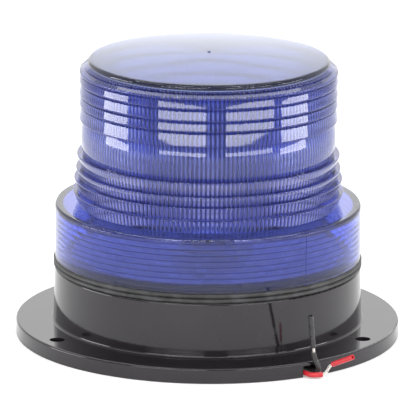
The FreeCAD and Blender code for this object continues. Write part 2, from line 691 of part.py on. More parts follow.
# Leads: straight runs joined by tangent arcs, swept with a round section
def route(points, name):
    """Wire along the points, each corner rounded as far as its runs allow."""
    spots = [FreeCAD.Vector(*point) for point in points]
    edges = []
    at = spots[0]
    radii = []
    for before, corner, after in zip(spots, spots[1:], spots[2:]):
        back = (before - corner)
        ahead = (after - corner)
        reach = 0.45 * min(back.Length, ahead.Length)
        turn = math.pi - back.getAngle(ahead)
        back.normalize()
        ahead.normalize()
        inset = corner + back * reach
        outset = corner + ahead * reach
        radius = reach / math.tan(turn / 2)
        bisector = (back + ahead).normalize()
        middle = corner + bisector * (radius / math.cos(turn / 2) - radius)
        edges.append(Part.LineSegment(at, inset).toShape())
        edges.append(Part.Arc(inset, middle, outset).toShape())
        radii.append(round(radius, 1))
        at = outset
    edges.append(Part.LineSegment(at, spots[-1]).toShape())
    print(name, "radii", radii)
    return Part.Wire(edges)


def tube(label, points, radius):
    """Round tube along a route."""
    spine = route(points, label)
    start = FreeCAD.Vector(*points[0])
    direction = FreeCAD.Vector(*points[1]) - start
    ring = Part.Wire(Part.Circle(start, direction, radius).toShape())
    item = doc.addObject("Part::Feature", label)
    item.Shape = spine.makePipeShell([ring], True, False)
    expected = math.pi * radius ** 2 * spine.Length
    print(label, "length", round(spine.Length, 1), "volume share", round(item.Shape.Volume / expected, 3))
    return keep(item, label)


rim_radius = value(FLANGE_RADIUS)
lead_radius = value("Sizes.lead_radius")
strand_radius = value("Sizes.strand_radius")
exit_x = value("Sizes.lead_spacing / 2")
exit_y = value(GROMMET_Y)
exit_z = value(GROMMET_UNDER)
floor_z = lead_radius + 0.4
run = rim_radius + exit_y

# Black lead: out of the notch, up in front of the rim and free at its end
black_way = FreeCAD.Vector(-0.235, -0.218, 0.947)
black_bare = FreeCAD.Vector(-0.4, -rim_radius - 2.2, floor_z + 9.5)
black_slug = black_bare + black_way * 2.5
black_tip = black_bare + black_way * 18.5
tube("black_lead", [
    (exit_x, exit_y, exit_z),
    (exit_x, exit_y, exit_z - 1.9),
    (exit_x, exit_y - 2.2, floor_z + 0.2),
    (exit_x, exit_y - 6.5, floor_z),
    (exit_x + 0.2, exit_y - 0.42 * run, floor_z + 0.1),
    (exit_x, exit_y - 0.73 * run, floor_z),
    (exit_x + 0.3, -rim_radius + 4.2, floor_z + 0.1),
    (exit_x + 0.5, -rim_radius + 0.9, floor_z),
    (exit_x + 0.7, -rim_radius - 0.9, floor_z + 0.1),
    (exit_x + 0.6, -rim_radius - 2.1, floor_z + 1.4),
    (exit_x + 0.3, -rim_radius - 2.3, floor_z + 3.4),
    tuple(black_bare - black_way * 3.4),
    tuple(black_bare),
], lead_radius)
tube("black_lead_strands", [tuple(black_bare), tuple(black_slug)], strand_radius)
tube("black_lead_slug", [tuple(black_slug), tuple(black_tip)], lead_radius)

# Red lead: out of the notch, along the rim, and its bared strands bent up and away
red_way = FreeCAD.Vector(0.97, -0.243, 0)
red_end_way = FreeCAD.Vector(0.343, -0.832, 0.436)
red_bare = FreeCAD.Vector(2.4, -rim_radius - 4.6, floor_z)
red_slug = red_bare + FreeCAD.Vector(3.4, -2.5, 4.5)
red_tip = red_slug + red_end_way * 11.5
tube("red_lead", [
    (-exit_x, exit_y, exit_z),
    (-exit_x, exit_y, exit_z - 1.9),
    (-exit_x, exit_y - 2.2, floor_z + 0.2),
    (-exit_x, exit_y - 6.5, floor_z),
    (-exit_x - 0.5, exit_y - 0.42 * run, floor_z),
    (-exit_x - 0.9, exit_y - 0.8 * run, floor_z),
    (-exit_x - 0.8, -rim_radius + 0.3, floor_z),
    (-exit_x - 0.4, -rim_radius - 2.8, floor_z),
    tuple(red_bare - red_way * 2.6),
    tuple(red_bare),
], lead_radius)
tube("red_lead_strands", [
    tuple(red_bare),
    tuple(red_bare + red_way * 1.3),
    tuple(red_slug - red_end_way * 1.3),
    tuple(red_slug),
], strand_radius)
tube("red_lead_slug", [tuple(red_slug), tuple(red_tip)], lead_radius)

# Check every object, then write the sub-parts
doc.recompute()
for item in doc.Objects:
    if "Invalid" in item.State or "Error" in item.State:
        raise RuntimeError(f"{item.Name} did not build: {item.State}")
os.makedirs("parts", exist_ok=True)
for item in nodes:
    if item.Shape.isNull() or not item.Shape.isValid():
        raise RuntimeError(f"{item.Label} has no valid shape")
    item.Shape.exportStep(os.path.join("parts", item.Label + ".step"))
    print(item.Label, len(item.Shape.Solids), round(item.Shape.Volume, 1))
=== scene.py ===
"""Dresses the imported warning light: blue lens, black base, LED tower, driver and two leads."""

from __future__ import annotations

import json
import logging
import math
from dataclasses import dataclass
from enum import Enum
from functools import cache
from typing import Any

import bpy
import numpy as np
from mathutils import Euler, Matrix, Vector

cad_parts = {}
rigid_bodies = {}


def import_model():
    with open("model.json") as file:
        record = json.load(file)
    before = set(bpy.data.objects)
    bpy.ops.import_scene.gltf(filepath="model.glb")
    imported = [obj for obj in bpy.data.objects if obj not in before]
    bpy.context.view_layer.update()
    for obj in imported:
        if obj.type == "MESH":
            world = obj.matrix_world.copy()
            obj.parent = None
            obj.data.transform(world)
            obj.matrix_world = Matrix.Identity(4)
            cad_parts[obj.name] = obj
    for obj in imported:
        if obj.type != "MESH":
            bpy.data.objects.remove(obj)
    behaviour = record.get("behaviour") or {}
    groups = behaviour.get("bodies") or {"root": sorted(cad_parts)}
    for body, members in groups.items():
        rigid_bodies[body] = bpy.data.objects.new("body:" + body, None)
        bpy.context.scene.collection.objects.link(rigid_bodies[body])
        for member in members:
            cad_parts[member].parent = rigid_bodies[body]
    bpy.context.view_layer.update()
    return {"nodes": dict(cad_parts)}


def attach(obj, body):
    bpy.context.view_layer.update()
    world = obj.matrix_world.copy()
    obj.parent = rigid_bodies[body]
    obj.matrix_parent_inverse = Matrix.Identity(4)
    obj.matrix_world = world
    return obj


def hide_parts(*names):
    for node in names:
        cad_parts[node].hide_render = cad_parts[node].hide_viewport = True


log = logging.getLogger("warning_light")

MM = 0.001
TURN = 2 * math.pi
Colour = tuple[float, float, float]
Point = tuple[float, float, float]
Pair = tuple[float, float]
Inputs = dict[str | int, Any]
Node = bpy.types.Node
Piece = bpy.types.Object
Socket = bpy.types.NodeSocket
Tree = bpy.types.NodeTree


class Body(Enum):
    """The bodies that pieces ride on."""

    BASE = "base"
    GASKET = "gasket"
    LENS = "lens"


# Node trees


class NodeSheet:
    """One node tree, with short calls that add and join its nodes."""

    def __init__(self, tree: Tree) -> None:
        """Keeps the tree that the nodes go into."""
        self.tree = tree

    def feed(self, node: Node, inputs: Inputs) -> None:
        """Joins sockets to a node's inputs, or sets the inputs' own values.

        Args:
            node: The node.
            inputs: Sockets, values or colours, by the input's name or index.
        """
        for key, value in inputs.items():
            if isinstance(value, Socket):
                self.tree.links.new(value, node.inputs[key])
            elif node.inputs[key].type == "RGBA":
                node.inputs[key].default_value = (*value, 1.0)
            else:
                node.inputs[key].default_value = value

    def add(self, kind: str, inputs: Inputs | None = None, **settings: Any) -> Node:
        """Adds a node.

        Args:
            kind: The node's type name.
            inputs: Sockets, values or colours for its inputs.
            **settings: The node's own properties.

        Returns:
            The new node.
        """
        node = self.tree.nodes.new(kind)
        for name, value in settings.items():
            setattr(node, name, value)
        self.feed(node, inputs or {})
        return node

    def math(self, operation: str, first: Any, second: Any = 0.0) -> Socket:
        """The result of a Math node on two values or sockets."""
        return self.add("ShaderNodeMath", {0: first, 1: second}, operation=operation).outputs[0]

    def times(self, first: Any, second: Any) -> Socket:
        """Two values or sockets multiplied."""
        return self.math("MULTIPLY", first, second)

    def spread(self, value: Any, low: float, high: float,
               to_low: float = 0.0, to_high: float = 1.0) -> Socket:
        """Maps a socket's range from low to high onto another range, and keeps it in there."""
        inputs = {0: value, 1: low, 2: high, 3: to_low, 4: to_high}
        return self.add("ShaderNodeMapRange", inputs, clamp=True).outputs[0]

    def mix(self, share: Any, first: Any, second: Any) -> Socket:
        """Two colours mixed, with the second by its share."""
        inputs = {0: share, 6: first, 7: second}
        return self.add("ShaderNodeMix", inputs, data_type="RGBA").outputs[2]

    def point(self) -> Socket:
        """The point being shaded, in the object's own metres."""
        return self.add("ShaderNodeTexCoord").outputs["Object"]

    def axes(self, vector: Socket) -> Any:
        """A vector's three values."""
        return self.add("ShaderNodeSeparateXYZ", {0: vector}).outputs

    def reach(self, x: Socket, y: Socket) -> Socket:
        """The distance from the axis of a point with these first two values."""
        return self.math("SQRT", self.math("ADD", self.times(x, x), self.times(y, y)))

    def noise(self, scale: Any, detail: float = 3.0, vector: Socket | None = None) -> Socket:
        """Noise of so many waves per metre, at a vector or at the object's own point."""
        inputs = {"Vector": vector or self.point(), "Scale": scale, "Detail": detail, "Roughness": 0.55}
        return self.add("ShaderNodeTexNoise", inputs).outputs["Fac"]

    def noise_of(self, size: Socket, detail: float) -> Socket:
        """Noise with marks of about one size, in metres."""
        return self.noise(self.math("DIVIDE", 1.0, size), detail)


def fresh_sheet(owner: Any) -> NodeSheet:
    """Empties the node tree of a material or a world.

    Args:
        owner: The material or world.

    Returns:
        Its sheet.
    """
    owner.use_nodes = True
    owner.node_tree.nodes.clear()
    return NodeSheet(owner.node_tree)


class Effect(Enum):
    """Surface effects that several finishes share."""

    GRAIN = "moulded_grain"
    DUST = "settled_dust"
    RUBS = "handling_rubs"


class EffectShelf:
    """Builds each shared effect once, as a node group. Its edges are where a mask starts and ends."""

    flow_edges: Pair = (0.3, 0.7)
    lying_edges: Pair = (0.4, 0.95)
    speck_edges: Pair = (0.56, 0.72)
    film_edges: Pair = (0.35, 0.65)
    film_least: float = 0.25
    film_waves: float = 45.0
    smear_edges: Pair = (0.45, 0.75)
    hair_edges: Pair = (0.66, 0.74)
    hair_share: float = 0.5
    hair_waves: float = 3.0
    hair_turn: Point = (0.5, 0.3, 0.9)
    hair_stretch: Point = (1.0, 9.0, 1.0)

    @cache
    def get(self, effect: Effect) -> Tree:
        """An effect's group, built at its first use."""
        return {Effect.GRAIN: self.grain, Effect.DUST: self.dust, Effect.RUBS: self.rubs}[effect]()

    def start(self, effect: Effect, inputs: dict[str, float],
              outputs: list[str]) -> tuple[NodeSheet, Any, Node]:
        """Starts a group with value sockets.

        Args:
            effect: The effect that the group is for.
            inputs: The input sockets, with what they start at.
            outputs: The names of the output sockets.

        Returns:
            The group's sheet, what it is given and its output node.
        """
        tree = bpy.data.node_groups.new(effect.value, "ShaderNodeTree")
        kind = "NodeSocketFloat"
        for name, value in inputs.items():
            tree.interface.new_socket(name, in_out="INPUT", socket_type=kind).default_value = value
        for name in outputs:
            tree.interface.new_socket(name, in_out="OUTPUT", socket_type=kind)
        sheet = NodeSheet(tree)
        return sheet, sheet.add("NodeGroupInput").outputs, sheet.add("NodeGroupOutput")

    def grain(self) -> Tree:
        """Fine moulded grain, and the slow flow marks under it.

        Returns:
            The group.
        """
        inputs = {"Size": 0.0004, "Flow Size": 0.02}
        sheet, given, made = self.start(Effect.GRAIN, inputs, ["Height", "Flow"])
        flow = sheet.noise_of(given["Flow Size"], detail=3.0)
        fine = sheet.noise_of(given["Size"], detail=2.0)
        sheet.feed(made, {"Height": fine, "Flow": sheet.spread(flow, *self.flow_edges)})
        return sheet.tree

    def dust(self) -> Tree:
        """Specks of dust on faces that look up, in an uneven film.

        Returns:
            The group.
        """
        sheet, given, made = self.start(Effect.DUST, {"Amount": 0.1, "Speck Size": 0.0006}, ["Mask"])
        normal = sheet.add("ShaderNodeNewGeometry").outputs["Normal"]
        lying = sheet.spread(sheet.axes(normal)["Z"], *self.lying_edges)
        specks = sheet.spread(sheet.noise_of(given["Speck Size"], detail=4.0), *self.speck_edges)
        film = sheet.spread(sheet.noise(self.film_waves), *self.film_edges, self.film_least, 1.0)
        mask = sheet.times(lying, sheet.times(specks, film))
        sheet.feed(made, {"Mask": sheet.times(mask, given["Amount"])})
        return sheet.tree

    def rubs(self) -> Tree:
        """Faint smears and hair lines left by handling.

        Returns:
            The group.
        """
        sheet, given, made = self.start(Effect.RUBS, {"Size": 0.01, "Amount": 0.5}, ["Mask"])
        drawn = {"Vector": sheet.point(), "Rotation": self.hair_turn, "Scale": self.hair_stretch}
        vector = sheet.add("ShaderNodeMapping", drawn).outputs[0]
        smear = sheet.spread(sheet.noise_of(given["Size"], detail=4.0), *self.smear_edges)
        waves = sheet.math("DIVIDE", self.hair_waves, given["Size"])
        hairs = sheet.noise(waves, detail=2.0, vector=vector)
        hairs = sheet.spread(hairs, *self.hair_edges, 0.0, self.hair_share)
        both = sheet.math("ADD", smear, hairs)
        sheet.feed(made, {"Mask": sheet.times(both, given["Amount"])})
        return sheet.tree


SHELF = EffectShelf()


# Finishes


def shade(colour: Colour, factor: float) -> Colour:
    """A colour made lighter or darker, with no channel over 1."""
    return tuple(min(1.0, channel * factor) for channel in colour)


@dataclass(frozen=True)
class Finish:
    """A surface finish: what every kind of it has. Colours in linear light, sizes in metres."""

    name: str
    colour: Colour
    roughness: float

    @cache
    def material(self) -> bpy.types.Material:
        """Makes the finish at its first use.

        Returns:
            The material.
        """
        made = bpy.data.materials.new(self.name)
        made.diffuse_color = (*self.colour, 1.0)
        sheet = fresh_sheet(made)
        shader = sheet.add("ShaderNodeBsdfPrincipled")
        out = sheet.add("ShaderNodeOutputMaterial", {"Surface": shader.outputs[0]})
        sheet.feed(shader, self.paint(sheet))
        sheet.feed(out, self.fill(sheet))
        return made

    def paint(self, sheet: NodeSheet) -> Inputs:
        """What goes into the shader on a sheet; each kind has its own."""
        raise NotImplementedError

    def fill(self, sheet: NodeSheet) -> Inputs:
        """What lies under the surface; only a clear finish has any."""
        return {}

    def effect(self, sheet: NodeSheet, effect: Effect, **values: float) -> Any:
        """Places a shared effect.

        Args:
            sheet: The material's sheet.
            effect: The effect wanted.
            **values: Its inputs, with _ for a space in the name.

        Returns:
            The group's outputs.
        """
        inputs = {name.replace("_", " "): value for name, value in values.items()}
        return sheet.add("ShaderNodeGroup", inputs, node_tree=SHELF.get(effect)).outputs

    def bump(self, sheet: NodeSheet, height: Socket, depth: float, strength: float) -> Socket:
        """A normal raised by a height from 0 to 1, where 1 stands for the depth in metres."""
        inputs = {"Height": height, "Distance": depth, "Strength": strength}
        return sheet.add("ShaderNodeBump", inputs).outputs[0]


@dataclass(frozen=True)
class MouldedPlastic(Finish):
    """Injection-moulded plastic with a fine grain, handling marks and a trace of dust."""

    dust: float = 0.12
    dust_colour: Colour = (0.3, 0.29, 0.28)
    tones: Pair = (0.85, 1.2)
    rubs_dull: float = 0.14
    dust_dulls: float = 0.5
    grain_depth: float = 0.00001
    grain_strength: float = 0.5

    def paint(self, sheet: NodeSheet) -> Inputs:
        """Lays grain, rubs and dust over the colour.

        Args:
            sheet: The material's sheet.

        Returns:
            The shader's inputs.
        """
        grain = self.effect(sheet, Effect.GRAIN, Size=0.00045, Flow_Size=0.03)
        rubs = self.effect(sheet, Effect.RUBS, Size=0.012, Amount=0.5)["Mask"]
        dust = self.effect(sheet, Effect.DUST, Amount=self.dust, Speck_Size=0.0007)["Mask"]
        colour = sheet.mix(grain["Flow"], *(shade(self.colour, tone) for tone in self.tones))
        rough = sheet.spread(rubs, 0.0, 1.0, self.roughness, self.roughness + self.rubs_dull)
        return {
            "Base Color": sheet.mix(dust, colour, self.dust_colour),
            "Roughness": sheet.math("ADD", rough, sheet.times(dust, self.dust_dulls)),
            "Normal": self.bump(sheet, grain["Height"], self.grain_depth, self.grain_strength),
        }


@dataclass(frozen=True)
class ClearLens(Finish):
    """Clear tinted moulding with flow marks, smears and painted shade lines at lips, flutes, thread,
    seam.

    A zone is a colour of painted light or shade and the heights that it lies between. The pairs
    called edges are where a mark fades out.
    """

    flow: Colour
    # deep is the colour of the painted shade lines; zones hold painted light and shade by height
    deep: Colour
    painted_zones: tuple[tuple[Colour, float, float], ...]
    lips: tuple[float, ...]
    flutes: int
    flute_radius: float
    flute_top: float
    thread_low: float
    thread_pitch: float
    thread_seam: float
    skirt_radius: float
    zone_edge: float = 0.0005
    lip_reach: float = 0.0012
    lip_share: float = 0.75
    flute_edge: float = 0.0002
    rib_edges: Pair = (-0.4, 0.3)
    rib_share: float = 0.85
    groove_edges: Pair = (0.06, 0.16)
    groove_share: float = 0.95
    seam_edges: Pair = (0.003, 0.006)
    skirt_edge: float = 0.0005
    through: Colour = (0.25, 0.31, 0.72)
    density: float = 45.0
    ior: float = 1.49
    mirror: float = 0.42
    clear: float = 0.97
    smears_dull: float = 0.06
    ripple_depth: float = 0.00002
    ripple_strength: float = 0.25

    def grooves(self, sheet: NodeSheet, around: Socket, height: Socket) -> Socket:
        """Where painted shade lines follow the thread and the mould line on the skirt.

        Args:
            sheet: The material's sheet.
            around: The angle round the axis.
            height: The height.

        Returns:
            A mask.
        """
        from_seam = sheet.math("SUBTRACT", around, self.thread_seam)
        turned = sheet.math("FRACT", sheet.math("DIVIDE", from_seam, TURN))
        risen = sheet.math("SUBTRACT", height, self.thread_low)
        risen = sheet.math("DIVIDE", risen, self.thread_pitch)
        phase = sheet.math("FRACT", sheet.math("SUBTRACT", risen, turned))
        middle = sheet.math("ABSOLUTE", sheet.math("SUBTRACT", phase, 0.5))
        groove = sheet.spread(middle, *self.groove_edges, self.groove_share, 0.0)
        nearer = sheet.math("MINIMUM", turned, sheet.math("SUBTRACT", 1.0, turned))
        seam = sheet.spread(sheet.times(nearer, TURN), *self.seam_edges, 1.0, 0.0)
        return sheet.math("MAXIMUM", groove, seam)

    def painted_shade_lines(self, sheet: NodeSheet) -> Socket:
        """Where shade is painted: dark lines at the lips, flute ribs, thread and mould line.

        Args:
            sheet: The material's sheet.

        Returns:
            A mask of painted shade, nearly 1 on a flute or a thread groove, and less at a lip.
        """
        x, y, height = sheet.axes(sheet.point())
        radius, around = sheet.reach(x, y), sheet.math("ARCTAN2", y, x)
        lip = 0.0
        for spot in self.lips:
            gap = sheet.math("ABSOLUTE", sheet.math("SUBTRACT", height, spot))
            near = sheet.spread(gap, 0.0, self.lip_reach, self.lip_share, 0.0)
            lip = sheet.math("MAXIMUM", lip, near)
        wave = sheet.math("COSINE", sheet.times(around, self.flutes))
        rib = sheet.spread(wave, *self.rib_edges, self.rib_share, 0.0)
        inside = sheet.spread(radius, self.flute_radius, self.flute_radius + self.flute_edge, 1.0, 0.0)
        inside = sheet.times(inside, sheet.math("LESS_THAN", height, self.flute_top))
        outside = sheet.math("GREATER_THAN", radius, self.skirt_radius - self.skirt_edge)
        groove = sheet.times(self.grooves(sheet, around, height), outside)
        rib = sheet.times(rib, inside)
        return sheet.math("MAXIMUM", rib, sheet.math("MAXIMUM", groove, lip))

    def tint_and_painted_light(self, sheet: NodeSheet, flow: Socket) -> Socket:
        """The tint with its flow marks, and each zone's painted light or shade over it.

        Args:
            sheet: The material's sheet.
            flow: The flow marks' mask.

        Returns:
            The tint's socket.
        """
        tint_and_painted_light = sheet.mix(flow, self.flow, self.colour)
        height = sheet.axes(sheet.point())["Z"]
        # each zone's painted light or shade laid over the tint by height
        for colour, *levels in self.painted_zones:
            low, high = (sheet.spread(height, level - self.zone_edge, level + self.zone_edge)
                         for level in levels)
            tint_and_painted_light = sheet.mix(sheet.math("SUBTRACT", low, high), tint_and_painted_light, colour)
        return tint_and_painted_light

    def paint(self, sheet: NodeSheet) -> Inputs:
        """Lays tint, flow marks, smears and painted light and shade on a clear shader.

        Args:
            sheet: The material's sheet.

        Returns:
            The shader's inputs.
        """
        grain = self.effect(sheet, Effect.GRAIN, Size=0.0025, Flow_Size=0.018)
        rubs = self.effect(sheet, Effect.RUBS, Size=0.011, Amount=0.6)["Mask"]
        tint_and_painted_light = self.tint_and_painted_light(sheet, grain["Flow"])
        return {
            # painted shade: the deep colour laid along the lips, flute ribs, thread and mould line
            "Base Color": sheet.mix(self.painted_shade_lines(sheet), tint_and_painted_light, self.deep),
            "Roughness": sheet.spread(rubs, 0.0, 1.0, self.roughness, self.roughness + self.smears_dull),
            "IOR": self.ior,
            "Specular IOR Level": self.mirror,
            "Transmission Weight": self.clear,
            "Normal": self.bump(sheet, grain["Height"], self.ripple_depth, self.ripple_strength),
        }

    def fill(self, sheet: NodeSheet) -> Inputs:
        """Tints light by how far it goes through the moulding."""
        inputs = {"Color": self.through, "Density": self.density}
        return {"Volume": sheet.add("ShaderNodeVolumeAbsorption", inputs).outputs[0]}


@dataclass(frozen=True)
class Rubber(Finish):
    """Moulded rubber, dull, with bloom and dust."""

    bloom: Colour = (0.11, 0.11, 0.115)
    dust_colour: Colour = (0.4, 0.39, 0.38)
    bloom_from: float = 0.2
    bloom_share: float = 0.5
    gloss_range: Pair = (-0.08, 0.1)
    pore_depth: float = 0.00003
    pore_strength: float = 0.6

    def paint(self, sheet: NodeSheet) -> Inputs:
        """Lays bloom, dust and pores over the colour.

        Args:
            sheet: The material's sheet.

        Returns:
            The shader's inputs.
        """
        grain = self.effect(sheet, Effect.GRAIN, Size=0.00035, Flow_Size=0.006)
        dust = self.effect(sheet, Effect.DUST, Amount=0.2, Speck_Size=0.0005)["Mask"]
        share = sheet.spread(grain["Flow"], self.bloom_from, 1.0, 0.0, self.bloom_share)
        colour = sheet.mix(share, self.colour, self.bloom)
        low, high = (self.roughness + change for change in self.gloss_range)
        return {
            "Base Color": sheet.mix(dust, colour, self.dust_colour),
            "Roughness": sheet.spread(grain["Flow"], 0.0, 1.0, low, high),
            "Normal": self.bump(sheet, grain["Height"], self.pore_depth, self.pore_strength),
        }


@dataclass(frozen=True)
class BareMetal(Finish):
    """Bare or plated metal with fine lines drawn along one axis."""

    along: Point = (1.0, 1.0, 0.04)
    tarnish: Colour = (0.4, 0.4, 0.42)
    lines: float = 5200.0
    tarnish_share: float = 0.45
    line_edges: Pair = (0.3, 0.7)
    gloss_range: Pair = (-0.06, 0.1)
    line_depth: float = 0.00001
    line_strength: float = 0.35

    def paint(self, sheet: NodeSheet) -> Inputs:
        """Lays drawn lines and tarnish on a metal shader.

        Args:
            sheet: The material's sheet.

        Returns:
            The shader's inputs.
        """
        drawn = {"Vector": sheet.point(), "Scale": self.along}
        vector = sheet.add("ShaderNodeMapping", drawn).outputs[0]
        lines = sheet.noise(self.lines, detail=2.0, vector=vector)
        rubs = self.effect(sheet, Effect.RUBS, Size=0.006, Amount=0.8)["Mask"]
        share = sheet.times(rubs, self.tarnish_share)
        low, high = (self.roughness + change for change in self.gloss_range)
        return {
            "Base Color": sheet.mix(share, self.colour, self.tarnish),
            "Metallic": 1.0,
            "Roughness": sheet.spread(lines, *self.line_edges, low, high),
            "Normal": self.bump(sheet, lines, self.line_depth, self.line_strength),
        }


@dataclass(frozen=True)
class BoardMask(Finish):
    """Solder mask over copper tracks, with bare pads."""

    track: Colour = (0.1, 0.36, 0.18)
    pad: Colour = (0.7, 0.68, 0.62)
    pitch: float = 0.004
    track_edges: Pair = (0.42, 0.45)
    pad_edges: Pair = (0.1, 0.07)
    track_share: float = 0.7
    stain_share: float = 0.15
    stain_tone: float = 0.7
    track_rise: float = 0.6
    pad_rise: float = 0.9
    pad_gloss: float = 0.12
    relief_depth: float = 0.00004
    relief_strength: float = 0.6

    def paint(self, sheet: NodeSheet) -> Inputs:
        """Lays tracks and pads over the mask.

        Args:
            sheet: The material's sheet.

        Returns:
            The shader's inputs.
        """
        flow = self.effect(sheet, Effect.GRAIN, Size=0.0006, Flow_Size=0.01)["Flow"]
        inputs = {"Vector": sheet.point(), "Scale": 1.0 / self.pitch, "Randomness": 0.75}
        cells = sheet.add("ShaderNodeTexVoronoi", inputs, distance="CHEBYCHEV").outputs["Distance"]
        tracks = sheet.spread(cells, *self.track_edges)
        pads = sheet.spread(cells, *self.pad_edges)
        colour = sheet.mix(sheet.times(tracks, self.track_share), self.colour, self.track)
        colour = sheet.mix(pads, colour, self.pad)
        stain = sheet.times(flow, self.stain_share)
        risen = sheet.times(tracks, self.track_rise), sheet.times(pads, self.pad_rise)
        height = sheet.math("ADD", *risen)
        return {
            "Base Color": sheet.mix(stain, colour, shade(self.colour, self.stain_tone)),
            "Metallic": pads,
            "Roughness": sheet.spread(pads, 0.0, 1.0, self.roughness, self.roughness - self.pad_gloss),
            "Normal": self.bump(sheet, height, self.relief_depth, self.relief_strength),
        }


@dataclass(frozen=True)
class Insulation(Finish):
    """Extruded wire insulation, smooth, with drag marks and scuffs."""

    scuff: Colour = (0.3, 0.3, 0.3)
    tones: Pair = (0.8, 1.15)
    scuff_share: float = 0.12
    scuffs_dull: float = 0.2
    drag_depth: float = 0.00001
    drag_strength: float = 0.4

    def paint(self, sheet: NodeSheet) -> Inputs:
        """Lays drag marks and scuffs over the colour.

        Args:
            sheet: The material's sheet.

        Returns:
            The shader's inputs.
        """
        grain = self.effect(sheet, Effect.GRAIN, Size=0.0003, Flow_Size=0.004)
        rubs = self.effect(sheet, Effect.RUBS, Size=0.003, Amount=0.6)["Mask"]
        colour = sheet.mix(grain["Flow"], *(shade(self.colour, tone) for tone in self.tones))
        return {
            "Base Color": sheet.mix(sheet.times(rubs, self.scuff_share), colour, self.scuff),
            "Roughness": sheet.spread(rubs, 0.0, 1.0, self.roughness, self.roughness + self.scuffs_dull),
            "Normal": self.bump(sheet, grain["Height"], self.drag_depth, self.drag_strength),
        }


@dataclass(frozen=True)
class EmitterResin(Finish):
    """A pale LED package with a yellow dome on its outer side, told by the distance from the axis."""

    dome: Colour = (0.75, 0.55, 0.08)
    dome_from: float = 0.01385
    dome_edge: float = 0.0001
    dome_roughness: float = 0.1
    mark_share: float = 0.2
    mark_tone: float = 0.6

    def paint(self, sheet: NodeSheet) -> Inputs:
        """Sets the package's and the dome's colour and gloss.

        Args:
            sheet: The material's sheet.

        Returns:
            The shader's inputs.
        """
        flow = self.effect(sheet, Effect.GRAIN, Size=0.0003, Flow_Size=0.002)["Flow"]
        x, y, _ = sheet.axes(sheet.point())
        low, high = self.dome_from - self.dome_edge, self.dome_from + self.dome_edge
        share = sheet.spread(sheet.reach(x, y), low, high)
        colour = sheet.mix(share, self.colour, self.dome)
        marks = sheet.times(flow, self.mark_share)
        return {
            "Base Color": sheet.mix(marks, colour, shade(self.dome, self.mark_tone)),
            "Roughness": sheet.spread(share, 0.0, 1.0, self.roughness, self.dome_roughness),
        }


# Meshes


def add_object(name: str, data: Any) -> Piece:
    """Links new data into the scene.

    Args:
        name: The object's name.
        data: Its mesh, curve, light or camera.

    Returns:
        The object.
    """
    made = bpy.data.objects.new(name, data)
    bpy.context.scene.collection.objects.link(made)
    return made


def mesh_object(name: str, points: np.ndarray, faces: list, sharp_degrees: float = 30.0) -> Piece:
    """Makes a smooth-shaded mesh object with sharp edges kept.

    Args:
        name: The object's name.
        points: Its vertices, one row each, in metres.
        faces: Its faces, as lists of vertex numbers.
        sharp_degrees: The angle over which an edge stays sharp.

    Returns:
        The object.
    """
    mesh = bpy.data.meshes.new(name)
    mesh.from_pydata(points.tolist(), [], faces)
    mesh.validate()
    mesh.shade_smooth()
    mesh.set_sharp_from_angle(angle=math.radians(sharp_degrees))
    return add_object(name, mesh)


def angles(around: int) -> np.ndarray:
    """Even angles round one turn."""
    return np.arange(around) * TURN / around


def spun(angle: np.ndarray, radius: Any, height: Any) -> np.ndarray:
    """A ring of points round the axis.

    Args:
        angle: The angles round it.
        radius: The radius, one value or one for each angle.
        height: The height, one value or one for each angle.

    Returns:
        The points, one row each.
    """
    height = np.broadcast_to(height, angle.shape)
    return np.stack([radius * np.cos(angle), radius * np.sin(angle), height], 1)


def round_faces(rows: int, around: int, first: int = 0, closed: bool = False) -> list[list[int]]:
    """Faces of a tube of rings.

    Args:
        rows: How many rings it has.
        around: How many points each ring has.
        first: The number of its first vertex.
        closed: Whether the last ring meets the first.

    Returns:
        Quads between each ring and the next.
    """
    ring = np.arange(around)
    after = np.roll(ring, -1)
    quads = []
    for row in range(rows if closed else rows - 1):
        low, high = first + row * around, first + (row + 1) % rows * around
        quads.append(np.stack([low + ring, low + after, high + after, high + ring], 1))
    return np.concatenate(quads).tolist()


def capped_rings(name: str, rings: np.ndarray, start: np.ndarray, end: np.ndarray) -> Piece:
    """A closed skin of rings between two poles.

    Args:
        name: The object's name.
        rings: Points, rings by points by three, in metres.
        start: The point that closes the first ring.
        end: The point that closes the last ring.

    Returns:
        The object.
    """
    rows, around = rings.shape[:2]
    points = np.concatenate([rings.reshape(-1, 3), start[None], end[None]])
    faces = round_faces(rows, around)
    last = (rows - 1) * around
    for spot in range(around):
        after = (spot + 1) % around
        faces.append([rows * around, after, spot])
        faces.append([rows * around + 1, last + spot, last + after])
    return mesh_object(name, points, faces)


def across(direction: np.ndarray) -> tuple[np.ndarray, np.ndarray]:
    """Two unit directions square to one direction and to each other.

    Args:
        direction: A unit direction.

    Returns:
        The two directions.
    """
    side = np.cross(direction, [0.0, 0.0, 1.0])
    if np.linalg.norm(side) < 1e-6:
        side = np.array([1.0, 0.0, 0.0])
    side = side / np.linalg.norm(side)
    return side, np.cross(direction, side)


def turned(name: str, start: Point, end: Point, profile: list[Pair], around: int) -> Piece:
    """A solid turned about the line between two points.

    Args:
        name: The object's name.
        start: The line's first point, in metres.
        end: The line's last point, in metres.
        profile: Pairs of distance along the line and radius, from pole to pole, in metres.
        around: How many points each ring has.

    Returns:
        The object.
    """
    first = np.array(start)
    line = np.array(end) - first
    line = line / np.linalg.norm(line)
    side, up = across(line)
    angle = angles(around)
    circle = np.cos(angle)[:, None] * side + np.sin(angle)[:, None] * up
    rings = np.stack([first + line * along + circle * radius for along, radius in profile[1:-1]])
    return capped_rings(name, rings, first + line * profile[0][0], first + line * profile[-1][0])


